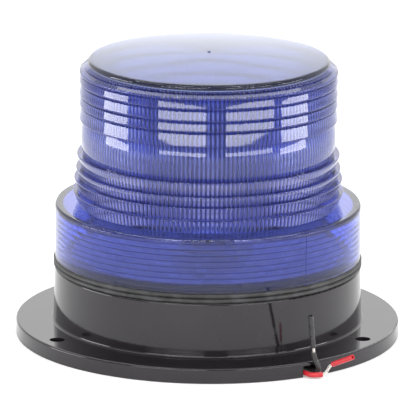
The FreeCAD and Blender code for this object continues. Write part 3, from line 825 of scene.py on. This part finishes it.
def soften(corners: list[Pair], reach: float, slight_degrees: float = 10.0,
           most: float = 0.4) -> list[Pair]:
    """Rounds the corners of an open profile a little.

    Args:
        corners: The profile's points.
        reach: How far along each side a round starts.
        slight_degrees: The turn under which a corner stays as it is.
        most: The largest share of a side that a round takes.

    Returns:
        The profile with each clear corner as three points.
    """
    points = [corners[0]]
    for before, corner, after in zip(corners, corners[1:], corners[2:]):
        middle, spots = Vector(corner), []
        turn = (middle - Vector(before)).angle(Vector(after) - middle)
        if turn < math.radians(slight_degrees):
            points.append(corner)
            continue
        for other in (before, after):
            side = Vector(other) - middle
            spots.append(middle + side.normalized() * min(reach, side.length * most))
        points += [tuple(spots[0]), tuple((spots[0] + spots[1] + middle * 2) / 4), tuple(spots[1])]
    return [*points, corners[-1]]


def arc(start: Pair, end: Pair, bulge: float, count: int) -> list[Pair]:
    """Points on an arc between two points, without its ends.

    Args:
        start: Its first end.
        end: Its other end.
        bulge: How far it stands off the straight line, to the left of it.
        count: How many points to give.

    Returns:
        The points.
    """
    first, last = Vector(start), Vector(end)
    half = (last - first) / 2
    along, side = half.normalized(), Vector((-half.y, half.x)).normalized()
    radius = (half.length_squared + bulge * bulge) / (2 * abs(bulge))
    centre = first + half + side * (bulge - math.copysign(radius, bulge))
    reach = math.asin(min(1.0, half.length / radius))
    points = []
    for number in range(1, count + 1):
        turn = reach * (2 * number / (count + 1) - 1)
        out = side * math.copysign(radius * math.cos(turn), bulge) + along * radius * math.sin(turn)
        points.append(tuple(centre + out))
    return points


def nurbs(name: str, points: list[Point], resolution: int) -> bpy.types.Curve:
    """A smooth line that starts and ends at its control points.

    Args:
        name: The curve's name.
        points: The control points, in metres.
        resolution: How many steps it has for each control point.

    Returns:
        The curve.
    """
    curve = bpy.data.curves.new(name, "CURVE")
    curve.dimensions = "3D"
    curve.resolution_u = resolution
    spline = curve.splines.new("NURBS")
    spline.points.add(len(points) - 1)
    for spot, point in zip(spline.points, points):
        spot.co = (*point, 1.0)
    spline.order_u = min(3, len(points))
    spline.use_endpoint_u = True
    return curve


def follow(points: list[Point], resolution: int) -> np.ndarray:
    """Reads points along the smooth line that control points give.

    Args:
        points: The control points, in metres.
        resolution: How many points to read for each control point.

    Returns:
        The points read, one row each.
    """
    curve = nurbs("line", points, resolution)
    carrier = bpy.data.objects.new("line", curve)
    mesh = bpy.data.meshes.new_from_object(carrier)
    spots = np.array([vertex.co for vertex in mesh.vertices])
    bpy.data.objects.remove(carrier)
    bpy.data.meshes.remove(mesh)
    bpy.data.curves.remove(curve)
    return spots


def dress(piece: Piece, finish: Finish) -> Piece:
    """Gives a piece one finish.

    Args:
        piece: The piece.
        finish: Its finish.

    Returns:
        The piece.
    """
    piece.data.materials.clear()
    piece.data.materials.append(finish.material())
    return piece


def dress_nodes(nodes: dict[str, Piece], finishes: dict[str, Finish]) -> None:
    """Dresses CAD nodes that stay as they are.

    Args:
        nodes: The frame's nodes.
        finishes: A finish for each node's name.
    """
    for name, finish in finishes.items():
        dress(nodes[name], finish)
        log.info("node %s in %s", name, finish.name)


def place(piece: Piece, body: Body, slot: str, *nodes: str) -> Piece:
    """Puts a new piece on its body, in the place of CAD nodes.

    Args:
        piece: The piece.
        body: The body that it rides on.
        slot: The record's material slot; not used.
        *nodes: The nodes that it stands for.

    Returns:
        The piece.
    """
    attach(piece, body.value)
    if nodes:
        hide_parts(*nodes)
    log.info("piece %s on %s", piece.name, body.value)
    return piece


# Sub-assemblies


@dataclass
class Lens:
    """The screw-on lens: skirt with an inner thread, stepped prisms, flutes inside, crowned top.

    Millimetres. Pairs are a radius and a height, unless a comment says otherwise.
    """

    segments: int = 720
    foot: float = 34.0
    foot_inner: float = 64.0
    foot_chamfer: float = 0.6
    skirt_radius: float = 65.7
    skirt_rows: tuple[float, ...] = (48.0, 42.0, 38.0)
    skirt_low: float = 36.0
    shoulder: float = 57.5
    edge_break: Pair = (0.62, 1.0)  # across the shoulder and down the skirt
    edge_margins: Pair = (2.5, 3.0)  # the same, to where the profile runs straight
    edge_round: float = 0.3
    bore: float = 62.2
    shoulder_under: float = 54.5
    neck: tuple[Pair, ...] = ((56.0, 0.0), (54.0, 0.2), (52.6, 1.1), (52.1, 2.1))  # from its underside
    thread_margins: Pair = (0.35, 0.3)  # above the foot and under the shoulder
    thread_pitch: float = 2.5
    thread_depth: float = 0.12
    groove_share: float = 0.12
    flutes: int = 180
    flute_depth: float = 0.42
    flute_foot: Pair = (52.3, 52.0)
    flute_end: float = 57.7
    flute_run_in: float = 0.15
    flute_rows: tuple[float, ...] = (60.0, 75.0, 90.0, 105.0)
    flute_top: Pair = (50.7, 117.0)
    flute_run_out: float = 0.4
    roof_reach: float = 49.5
    roof_wall: float = 3.4
    roof_rows: tuple[float, ...] = (49.2, 45.0, 35.0, 20.0, 6.0)
    top_edge: Pair = (50.1, 120.4)
    top_side: Pair = (51.7, 118.8)
    top_bulge: float = 0.464
    top_crown: float = 2.7
    crown_rows: tuple[float, ...] = (3.0, 10.0, 20.0, 30.0, 40.0, 46.0)
    top_lip: Pair = (53.4, 116.8)
    top_nose: float = 0.4
    top_step: float = 0.5
    top_slope: float = 0.85
    upper_lip: float = 55.3
    upper_lips: tuple[float, ...] = (114.2, 110.2, 105.0, 100.5, 94.0)
    upper_slopes: tuple[float, ...] = (0.185, 0.172, 0.167, 0.139)
    upper_nose: float = 0.8
    notch: Pair = (0.8, 0.7)  # height and depth
    band: Pair = (79.3, 94.0)  # heights
    band_edge: float = 53.6
    band_bulge: float = 1.0
    lower_lips: tuple[Pair, ...] = ((56.3, 79.3), (56.7, 73.4), (57.5, 68.9), (58.0, 63.4))
    lower_slope: float = 0.36
    lower_nose: float = 0.45
    gate: Pair = (0.65, 0.5)
    gate_round: Pair = (0.6, 0.7)  # shares of the gate's radius and height
    gate_foot: float = 0.2
    parting_degrees: float = -83.0
    parting_height: float = 0.05
    parting_margin: float = 1.0
    # Painted light and shade by height: a deeper blue skirt, a paler prism band and a greyer top
    skirt_painted_shade: Colour = (0.27, 0.35, 0.92)
    skirt_shade_drop: float = 1.0
    prism_painted_light: Colour = (0.74, 0.76, 0.99)
    prism_light_rise: float = 0.3
    top_painted_light: Colour = (0.4, 0.5, 0.68)
    top_light_drop: float = 0.2
    flute_margin: float = 0.2

    @property
    def apex(self) -> float:
        """The height of the top's middle, under the gate mark."""
        return self.top_edge[1] + self.top_crown

    def finish(self) -> ClearLens:
        """Fits the lens's finish, with its painted shade lines and painted zones, to its lips, flutes
        and thread.

        Returns:
            The finish.
        """
        heights = (self.top_lip[1], *self.upper_lips, *(height for _, height in self.lower_lips))
        # painted zones: a deeper skirt for painted shade, paler prisms and a greyer top for painted
        # light
        prism_start = (self.shoulder + self.prism_light_rise) * MM
        skirt = (self.skirt_painted_shade, 0.0, (self.shoulder - self.skirt_shade_drop) * MM)
        prisms = (self.prism_painted_light, prism_start, self.band[0] * MM)
        top = (self.top_painted_light, (self.top_edge[1] - self.top_light_drop) * MM, 1.0)
        return ClearLens(
            name="clear_blue_moulding",
            colour=(0.35, 0.4, 0.72),
            roughness=0.03,
            flow=(0.31, 0.36, 0.69),
            # the colour of the painted shade lines at the lips, flutes, thread and mould line
            deep=(0.008, 0.02, 0.36),
            painted_zones=(skirt, prisms, top),
            lips=tuple(height * MM for height in heights),
            flutes=self.flutes,
            flute_radius=(self.flute_foot[0] + self.flute_margin) * MM,
            flute_top=self.flute_top[1] * MM,
            thread_low=(self.foot + self.thread_margins[0]) * MM,
            thread_pitch=self.thread_pitch * MM,
            thread_seam=math.radians(self.parting_degrees),
            skirt_radius=self.skirt_radius * MM,
        )

    def nose(self, lip: Pair, radius: float, start: float, end: float) -> list[Pair]:
        """Points round the nose of a lip.

        Args:
            lip: The lip's largest radius from the axis, and the height of the nose's centre.
            radius: The nose's own radius.
            start: The direction that its first point faces, in degrees above level.
            end: The direction that its last point faces.

        Returns:
            Pairs of radius and height.
        """
        points, steps = [], 6
        for step in range(steps + 1):
            turn = math.radians(start + (end - start) * step / steps)
            points.append((lip[0] - radius + radius * math.cos(turn), lip[1] + radius * math.sin(turn)))
        return points

    def dome(self, reach: float, apex: float, radius: float) -> float:
        """The height of a dome with the top's crown, at a radius."""
        curve = (reach**2 + self.top_crown**2) / (2 * self.top_crown)
        return apex - curve + math.sqrt(curve**2 - radius**2)

    def top(self) -> list[Pair]:
        """The outer profile from the gate mark to the top's lip.

        Returns:
            Pairs of radius and height.
        """
        radius, rise = self.gate
        inner, side = self.gate_round
        points = [(radius * inner, self.apex + rise), (radius, self.apex + rise * side)]
        for spot in (radius, radius + self.gate_foot, *self.crown_rows):
            points.append((spot, self.dome(self.top_edge[0], self.apex, spot)))
        edge = arc(self.top_edge, self.top_side, self.top_bulge, count=5)
        points += [self.top_edge, *edge, self.top_side]
        steep = math.degrees(math.atan(self.top_slope))
        lip, height = self.top_lip
        points += self.nose((lip, height + self.top_nose), self.top_nose, steep, -90.0)
        points.append((lip - self.top_step, height))
        start = (self.upper_lip, self.upper_lips[0] + self.upper_nose)
        return points + self.nose(start, self.upper_nose, steep, -90.0)

    def prisms(self) -> list[Pair]:
        """The outer profile from the upper prisms to the shoulder.

        Returns:
            Pairs of radius and height.
        """
        points = []
        drop, deep = self.notch
        for above, height, slope in zip(self.upper_lips, self.upper_lips[1:], self.upper_slopes):
            facing = math.degrees(math.atan(slope))
            lip = self.nose((self.upper_lip, height + self.upper_nose), self.upper_nose, facing, -90.0)
            start = lip[0][0] - (above - drop - lip[0][1]) * slope
            points += [(start - deep, above), (start, above - drop), *lip]
        low, high = (self.band_edge, self.band[0]), (self.band_edge, self.band[1])
        points += [high, *arc(high, low, self.band_bulge, count=7), low]
        under = -math.degrees(math.atan(self.lower_slope))
        feet = [height for _, height in self.lower_lips[1:]] + [self.shoulder]
        for (radius, height), foot in zip(self.lower_lips, feet):
            points += self.nose((radius, height - self.lower_nose), self.lower_nose, 90.0, under)
            points.append((radius - (height - foot) * self.lower_slope, foot))
        return points

    def skirt(self) -> list[Pair]:
        """The outer profile from the shoulder's edge to the foot.

        Returns:
            Pairs of radius and height.
        """
        side, top = self.skirt_radius, self.shoulder
        reach, drop = self.edge_break
        flat, down = self.edge_margins
        edge = [(side - flat, top), (side - reach, top), (side, top - drop), (side, top - down)]
        foot = [(side, self.skirt_low), (side, self.foot), (self.foot_inner, self.foot)]
        rows = [(side, height) for height in self.skirt_rows]
        return soften(edge, self.edge_round) + rows + soften(foot, self.edge_round)

    def thread(self, angle: np.ndarray) -> list[tuple[float, np.ndarray]]:
        """Rows down the bore that follow the thread round.

        Args:
            angle: The angles round the axis.

        Returns:
            The radius and the height at each angle, row by row.
        """
        over, under = self.thread_margins
        low, high = self.foot + over, self.shoulder_under - self.thread_pitch - under
        climb = self.thread_pitch * np.mod(angle - math.radians(self.parting_degrees), TURN) / TURN
        share = self.groove_share
        groove = ((0.0, 0.0), (0.5 - share, 0.0), (0.5 - share / 2, 0.7), (0.5, 1.0),
                  (0.5 + share / 2, 0.7), (0.5 + share, 0.0))
        rows = []
        for turn in range(int((high - low) / self.thread_pitch) + 1):
            for phase, depth in groove:
                height = low + (turn + phase) * self.thread_pitch
                if height < high:
                    rows.append((self.bore + depth * self.thread_depth, height + climb))
        return rows

    def ribs(self, angle: np.ndarray, height: float) -> np.ndarray:
        """The inner radius in the fluted length.

        Args:
            angle: The angles round the axis.
            height: The height.

        Returns:
            The radius at each angle.
        """
        (foot, low), (top, high) = self.flute_foot, self.flute_top
        radius = foot + (height - low) / (high - low) * (top - foot)
        across_rib = np.mod(angle * self.flutes / TURN, 1.0) * 2 - 1
        return radius - self.flute_depth * (1 - across_rib**2)

    def rings(self) -> np.ndarray:
        """All rings of the skin, from the gate mark round the foot to the roof's underside.

        Returns:
            Points, rings by points by three, in metres.
        """
        angle = angles(self.segments)
        seam = np.abs(np.degrees(angle) - self.parting_degrees % 360.0) < 180.0 / self.segments
        rows = []
        for radius, height in self.top() + self.prisms() + self.skirt():
            line = self.foot + self.parting_margin < height < self.shoulder - self.parting_margin
            proud = self.parting_height if line else 0.0
            rows.append((radius + proud * seam, height))
        rows += [(self.bore + self.foot_chamfer, self.foot), *self.thread(angle)]
        rows.append((self.bore, self.shoulder_under))
        rows += [(radius, self.shoulder_under + rise) for radius, rise in self.neck]
        rows.append((self.neck[-1][0], self.flute_end - self.flute_run_in))
        fluted = (self.flute_end, *self.flute_rows, self.flute_top[1] - self.flute_run_out)
        rows += [(self.ribs(angle, height), height) for height in fluted]
        roof = self.apex - self.roof_wall
        rows += [(radius, self.dome(self.roof_reach, roof, radius)) for radius in self.roof_rows]
        return np.stack([spun(angle, radius, height) for radius, height in rows]) * MM

    def build(self) -> None:
        """Builds the lens in the place of its plain CAD node."""
        top = np.array([0.0, 0.0, (self.apex + self.gate[1]) * MM])
        roof = np.array([0.0, 0.0, (self.apex - self.roof_wall) * MM])
        piece = capped_rings("lens_shell", self.rings()[:, ::-1], top, roof)
        flat = piece.modifiers.new("flat_faces", "WEIGHTED_NORMAL")
        flat.weight, flat.keep_sharp = 100, True
        place(dress(piece, self.finish()), Body.LENS, "blue_lens", "lens")


@dataclass
class Base:
    """The black base: housing, thread on its collar, cover, seal and cover screws. Millimetres."""

    housing: MouldedPlastic = MouldedPlastic("semi_gloss_black", (0.015, 0.0125, 0.0155), 0.07)
    rubber: Rubber = Rubber("sealing_rubber", (0.018, 0.018, 0.019), 0.55)
    zinc: BareMetal = BareMetal("zinc_plate", (0.62, 0.62, 0.63), 0.3, (1, 1, 1))
    collar: float = 61.9
    ridge: float = 0.6
    ridge_heights: Pair = (34.4, 36.6)
    ridge_halves: tuple[float, float, float] = (0.55, 0.5, 0.12)  # sunk, at the foot, at the crest
    ridge_fade: float = 0.06
    pitch: float = 2.5
    wall_foot: Pair = (66.5, 6.4)
    foot_round: float = 0.9
    foot_sunk: float = 0.2
    foot_lap: float = 0.1
    overlap: float = 0.3

    def build(self, nodes: dict[str, Piece]) -> None:
        """Dresses the base's nodes and adds its thread and the fillet at the wall's foot.

        Args:
            nodes: The frame's nodes.
        """
        plastic = dict.fromkeys(("base_housing", "bottom_cover"), self.housing)
        rubber = dict.fromkeys(("cover_seal", "lead_grommet"), self.rubber)
        zinc = dict.fromkeys(("cover_screws", "board_screws", "tower_screws"), self.zinc)
        dress_nodes(nodes, plastic | rubber | zinc)
        self.build_thread()
        self.build_fillet()

    def build_fillet(self) -> None:
        """Builds the small fillet between the flange and the wall."""
        radius, height = self.wall_foot
        size, around, steps = self.foot_round, 360, 6
        low = height - self.foot_sunk
        section = [(radius - self.overlap, low), (radius + size + self.foot_lap, low)]
        for step in range(steps + 1):
            turn = math.radians(90.0 * step / steps)
            section.append((radius + size * (1 - math.sin(turn)), height + size * (1 - math.cos(turn))))
        section.append((radius - self.overlap, height + size + self.foot_lap))
        rings = [spun(angles(around), reach, rise) for reach, rise in section]
        faces = round_faces(len(section), around, closed=True)
        piece = mesh_object("wall_fillet", np.concatenate(rings) * MM, faces)
        place(dress(piece, self.housing), Body.BASE, "black_housing")

    def build_thread(self) -> None:
        """Builds the ridge that the lens screws onto, as one tapering helix on the collar."""
        low, high = self.ridge_heights
        sunk, foot, crest = self.ridge_halves
        steps, rings = 160, []
        for share in np.arange(steps + 1) / steps:
            angle = TURN * (high - low) / self.pitch * share
            height = low + (high - low) * share
            proud = self.ridge * min(1.0, share / self.ridge_fade, (1 - share) / self.ridge_fade)
            section = ((-self.overlap, -sunk), (0.0, -foot), (proud, -crest),
                       (proud, crest), (0.0, foot), (-self.overlap, sunk))
            out = np.array([math.cos(angle), math.sin(angle), 0.0])
            rings.append([out * (self.collar + reach) + (0.0, 0.0, height + rise)
                          for reach, rise in section])
        skin = np.array(rings) * MM
        piece = capped_rings("collar_thread", skin[:, ::-1], skin[0].mean(0), skin[-1].mean(0))
        place(dress(piece, self.housing), Body.BASE, "black_housing")


@dataclass
class Gasket:
    """The lens gasket under the skirt."""

    rubber: Rubber = Rubber("gasket_rubber", (0.016, 0.016, 0.017), 0.5)

    def build(self, nodes: dict[str, Piece]) -> None:
        """Dresses the gasket's node."""
        dress_nodes(nodes, {"lens_gasket": self.rubber})


@dataclass
class LightEngine:
    """The LED tower on its reflector plate."""

    reflector: MouldedPlastic = MouldedPlastic("white_gloss", (0.8, 0.8, 0.79), 0.25, dust=0.05)
    tower: BareMetal = BareMetal("extruded_aluminium", (0.72, 0.73, 0.75), 0.32)
    cap: MouldedPlastic = MouldedPlastic("white_moulding", (0.75, 0.75, 0.75), 0.45, dust=0.05)
    board: BoardMask = BoardMask("white_solder_mask", (0.82, 0.82, 0.79), 0.4,
                                 (0.7, 0.7, 0.68), (0.6, 0.58, 0.5), 0.003)
    emitter: EmitterResin = EmitterResin("emitter_package", (0.8, 0.79, 0.7), 0.35)
    wire: Insulation = Insulation("harness_insulation", (0.25, 0.03, 0.03), 0.35)
    sides: int = 6

    def build(self, nodes: dict[str, Piece]) -> None:
        """Dresses the nodes of the light engine.

        Args:
            nodes: The frame's nodes.
        """
        finishes = {"reflector_plate": self.reflector, "led_tower": self.tower,
                    "tower_cap": self.cap, "led_harness": self.wire}
        for number in range(1, self.sides + 1):
            finishes |= {f"led_board_{number}": self.board, f"led_{number}": self.emitter}
        dress_nodes(nodes, finishes)


@dataclass
class Driver:
    """The flash driver's board and its parts, inside the base."""

    board: BoardMask = BoardMask("green_solder_mask", (0.02, 0.11, 0.05), 0.35)
    sleeve: Insulation = Insulation("shrink_sleeve", (0.012, 0.015, 0.05), 0.3)
    ferrite: MouldedPlastic = MouldedPlastic("dark_ferrite", (0.05, 0.05, 0.055), 0.6, dust=0.0)
    epoxy: MouldedPlastic = MouldedPlastic("black_epoxy", (0.012, 0.012, 0.013), 0.55, dust=0.0)
    terminal: MouldedPlastic = MouldedPlastic("green_moulding", (0.03, 0.2, 0.08), 0.4, dust=0.0)
    tail: Insulation = Insulation("tail_sheath", (0.25, 0.03, 0.03), 0.35)

    def build(self, nodes: dict[str, Piece]) -> None:
        """Dresses the driver's nodes.

        Args:
            nodes: The frame's nodes.
        """
        chips = ("switching_transistor", "polarity_diode", "flash_controller")
        finishes = {"driver_board": self.board, "storage_capacitor": self.sleeve,
                    "choke_coil": self.ferrite, "lead_terminal": self.terminal,
                    "lead_tails": self.tail}
        dress_nodes(nodes, finishes | dict.fromkeys(chips, self.epoxy))


@dataclass
class Lead:
    """One flying lead: insulation, a bared length of strands and the slug left on its end.

    Points and sizes are in millimetres, and the length is in metres.
    """

    name: str
    finish: Insulation
    slot: str
    route: list[Point]
    bare: list[Point]
    tip: Point
    length: float
    copper: BareMetal = BareMetal("tinned_strands", (0.78, 0.75, 0.7), 0.25, (1, 1, 1))
    radius: float = 1.1
    strand_circle: float = 0.47
    strand_radius: float = 0.24
    strand_lay: float = 11.0
    strands: int = 6
    hole_radius: float = 0.72
    hole_depth: float = 2.2
    edge: float = 0.12
    waist: float = 0.985
    waist_spots: Pair = (0.35, 0.7)  # shares of the slug's length: narrowest, and full again

    def metres(self, point: Point) -> Point:
        """A point in metres."""
        return tuple(value * MM for value in point)

    def build_cord(self) -> Piece:
        """Builds the insulation along the route.

        Returns:
            The cord.
        """
        curve = nurbs(self.name + "_cord", [self.metres(spot) for spot in self.route], resolution=10)
        curve.bevel_depth = self.radius * MM
        curve.bevel_resolution = 5
        curve.use_fill_caps = True
        piece = dress(add_object(self.name + "_cord", curve), self.finish)
        return place(piece, Body.BASE, self.slot, self.name)

    def build_strands(self) -> Piece:
        """Builds the bared strands, twisted round one core.

        Returns:
            The strands.
        """
        bared = [self.metres(point) for point in (self.route[-1], *self.bare)]
        line = follow(bared, resolution=6)
        run = np.concatenate([[0.0], np.cumsum(np.linalg.norm(np.diff(line, axis=0), axis=1))])
        ways = np.gradient(line, axis=0)
        ways = ways / np.linalg.norm(ways, axis=1)[:, None]
        around, points, faces = 8, [], []
        for strand in range(self.strands + 1):
            first = len(points)
            out = (self.strand_circle if strand < self.strands else 0.0) * MM
            for middle, way, along in zip(line, ways, run):
                side, up = across(way)
                angle = TURN * (strand / self.strands + along / (self.strand_lay * MM))
                core = middle + (side * math.cos(angle) + up * math.sin(angle)) * out
                for turn in angles(around):
                    rim = side * math.cos(turn) + up * math.sin(turn)
                    points.append(core + rim * self.strand_radius * MM)
            faces += round_faces(len(line), around, first)
            faces += [[first + spot for spot in reversed(range(around))]]
            faces += [[first + (len(line) - 1) * around + spot for spot in range(around)]]
        twist = mesh_object(self.name + "_twist", np.array(points), faces, sharp_degrees=60.0)
        piece = dress(twist, self.copper)
        return place(piece, Body.BASE, "tinned_copper", self.name + "_strands")

    def build_slug(self) -> Piece:
        """Builds the slug of insulation, open at its far end.

        Returns:
            The slug.
        """
        start, end = self.metres(self.bare[-1]), self.metres(self.tip)
        length = math.dist(start, end)
        radius, hole, edge = self.radius * MM, self.hole_radius * MM, self.edge * MM
        deep = length - self.hole_depth * MM
        narrow, full = self.waist_spots
        profile = [(0.0, 0.0), (0.0, hole), (0.0, radius - edge), (edge, radius),
                   (length * narrow, radius * self.waist), (length * full, radius),
                   (length - edge, radius), (length, radius - edge), (length, hole + edge),
                   (length - edge, hole), (deep, hole), (deep, 0.0)]
        piece = dress(turned(self.name + "_end", start, end, profile, around=28), self.finish)
        return place(piece, Body.BASE, self.slot, self.name + "_slug")

    def build(self) -> None:
        cord = self.build_cord()
        rest = [self.build_strands(), self.build_slug()]


BLACK_LEAD = Lead(
    name="black_lead",
    finish=Insulation("black_sheath", (0.03, 0.03, 0.032), 0.26, (0.14, 0.14, 0.14)),
    slot="black_insulation",
    route=[(1.7, -46.0, 4.9), (1.7, -46.0, 3.0), (1.7, -48.2, 1.7), (1.7, -52.5, 1.5),
           (1.9, -61.33, 1.6), (1.7, -72.645, 1.5), (2.0, -78.3, 1.6), (2.2, -81.6, 1.5),
           (2.4, -83.4, 1.6), (2.3, -84.6, 2.9), (2.0, -84.8, 4.9), (0.4, -83.96, 7.78),
           (-0.4, -84.7, 11.0)],
    bare=[(-0.99, -85.25, 13.37)],
    tip=(-4.75, -88.73, 28.52),
    length=0.0496,
)
RED_LEAD = Lead(
    name="red_lead",
    finish=Insulation("red_sheath", (0.55, 0.02, 0.03), 0.3, (0.6, 0.2, 0.2)),
    slot="red_insulation",
    route=[(-1.7, -46.0, 4.9), (-1.7, -46.0, 3.0), (-1.7, -48.2, 1.7), (-1.7, -52.5, 1.5),
           (-2.2, -61.33, 1.5), (-2.6, -75.2, 1.5), (-2.5, -82.2, 1.5), (-2.1, -85.3, 1.5),
           (-0.12, -86.47, 1.5), (2.4, -87.1, 1.5)],
    bare=[(3.66, -87.42, 1.5), (5.35, -88.52, 5.43), (5.8, -89.6, 6.0)],
    tip=(9.74, -99.17, 11.01),
    length=0.046,
)


# Studio


@dataclass(frozen=True)
class Softbox:
    """A soft lamp, placed by its direction from the object."""

    name: str
    azimuth: float
    elevation: float
    distance: float
    width: float
    height: float
    power: float


@dataclass
class Studio:
    """Pale floor, white room, soft lamps and the photograph's camera. Metres and degrees."""

    camera_place: Point = (-1.0924, -1.7482, 0.5848)
    camera_pitch: float = 75.57
    camera_turn: float = -32.0
    camera_roll: float = 0.4
    lens_length: float = 428.8
    sensor_width: float = 36.0
    floor_radius: float = 6.0
    floor_drop: float = 0.0002
    floor_colour: Colour = (0.8, 0.8, 0.8)
    floor_glow: float = 0.3
    room_light: float = 0.55
    front_light: float = 0.3
    wall_blend: float = 0.35
    aim: Point = (0.0, 0.0, 0.06)
    lamps: tuple[Softbox, ...] = (
        Softbox("left_softbox", -120.6, 1.8, 1.1, 0.565, 0.17, 2.7),
        Softbox("right_softbox", 48.6, 1.8, 1.1, 0.585, 0.17, 2.7),
        Softbox("left_front_softbox", -55.0, 5.6, 1.3, 1.0, 0.15, 3.8),
        Softbox("right_front_softbox", 4.5, 5.6, 1.3, 1.03, 0.15, 3.8),
        Softbox("front_strip", -32.0, 48.0, 1.3, 1.3, 0.16, 5.6),
        Softbox("left_strip", -84.0, 42.0, 1.3, 1.1, 0.22, 3.2),
        Softbox("right_strip", 20.0, 42.0, 1.3, 1.1, 0.22, 3.2),
        Softbox("back_softbox", 148.0, 19.0, 1.3, 1.3, 0.74, 1.9),
        Softbox("top_softbox", 148.0, 62.0, 1.3, 1.2, 1.0, 11.0),
    )

    def build(self) -> None:
        """Builds the floor, the room, the lamps and the camera."""
        self.build_room()
        self.build_floor()
        for lamp in self.lamps:
            self.build_lamp(lamp)
        self.build_camera()
        bpy.context.scene.view_settings.view_transform = "Standard"

    def seen(self, sheet: NodeSheet) -> tuple[Socket, Socket]:
        """Tells which rays see the white background.

        Args:
            sheet: The sheet that asks.

        Returns:
            Masks of the camera's rays, and of those together with gloss and glass.
        """
        path = sheet.add("ShaderNodeLightPath").outputs
        camera = path["Is Camera Ray"]
        shown = sheet.math("MAXIMUM", camera, path["Is Glossy Ray"])
        return camera, sheet.math("MAXIMUM", shown, path["Is Transmission Ray"])

    def build_room(self) -> None:
        """Makes the world white to the camera, gloss and glass, and softer to the rest."""
        world = bpy.context.scene.world = bpy.data.worlds.new("white_room")
        sheet = fresh_sheet(world)
        camera, seen = self.seen(sheet)
        turn = math.radians(self.camera_turn)
        behind = (-math.sin(turn), math.cos(turn), 0.0)
        ways = {0: sheet.add("ShaderNodeTexCoord").outputs["Generated"], 1: behind}
        facing = sheet.add("ShaderNodeVectorMath", ways, operation="DOT_PRODUCT").outputs["Value"]
        wall = sheet.spread(facing, -self.wall_blend, self.wall_blend, self.front_light, 1.0)
        wall = sheet.math("MAXIMUM", wall, camera)
        strength = sheet.add("ShaderNodeMix", {0: seen, 2: self.room_light, 3: wall}).outputs[0]
        back = sheet.add("ShaderNodeBackground", {"Color": (1.0, 1.0, 1.0), "Strength": strength})
        sheet.add("ShaderNodeOutputWorld", {"Surface": back.outputs[0]})

    def build_floor(self) -> None:
        """Builds the pale floor, which keeps the shadow."""
        around = 96
        ring = spun(angles(around), self.floor_radius, -self.floor_drop)
        floor = mesh_object("floor", ring, [list(range(around))])
        material = bpy.data.materials.new("pale_floor")
        sheet = fresh_sheet(material)
        strength = sheet.times(self.seen(sheet)[1], self.floor_glow)
        matt = sheet.add("ShaderNodeBsdfDiffuse", {"Color": self.floor_colour}).outputs[0]
        glow = sheet.add("ShaderNodeEmission", {"Strength": strength}).outputs[0]
        both = sheet.add("ShaderNodeAddShader", {0: matt, 1: glow}).outputs[0]
        sheet.add("ShaderNodeOutputMaterial", {"Surface": both})
        floor.data.materials.append(material)

    def build_lamp(self, lamp: Softbox) -> None:
        """Builds one soft lamp, which shows in gloss and neither directly nor through the lens.

        Args:
            lamp: The lamp.
        """
        data = bpy.data.lights.new(lamp.name, "AREA")
        data.shape = "RECTANGLE"
        data.size, data.size_y, data.energy = lamp.width, lamp.height, lamp.power
        turn, rise = math.radians(lamp.azimuth), math.radians(lamp.elevation)
        level = math.cos(rise)
        away = Vector((math.sin(turn) * level, -math.cos(turn) * level, math.sin(rise)))
        made = add_object(lamp.name, data)
        made.location = Vector(self.aim) + away * lamp.distance
        made.rotation_euler = (-away).to_track_quat("-Z", "Y").to_euler()
        made.visible_camera = made.visible_transmission = False

    def build_camera(self) -> None:
        """Builds the camera at the photograph's place and angle."""
        data = bpy.data.cameras.new("photo_camera")
        data.lens, data.sensor_width = self.lens_length, self.sensor_width
        data.clip_start, data.clip_end = 0.05, 50.0
        made = add_object("photo_camera", data)
        pitch, turn, roll = map(math.radians, (self.camera_pitch, self.camera_turn, self.camera_roll))
        look = Euler((pitch, 0.0, turn)).to_matrix() @ Matrix.Rotation(roll, 3, "Z")
        made.location = self.camera_place
        made.rotation_euler = look.to_euler()
        bpy.context.scene.camera = made


def clear_scene() -> None:
    """Removes what Blender starts with."""
    for thing in list(bpy.data.objects):
        bpy.data.objects.remove(thing)


def main() -> None:
    """Loads the frame, builds each sub-assembly round it, and sets up the studio."""
    logging.basicConfig(level=logging.INFO, format="%(name)s: %(message)s")
    clear_scene()
    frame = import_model()
    nodes = frame["nodes"]
    Studio().build()
    for lead in (BLACK_LEAD, RED_LEAD):
        lead.build()
    Lens().build()
    for unit in (Gasket(), Base(), LightEngine(), Driver()):
        unit.build(nodes)


if __name__ == "__main__":
    main()
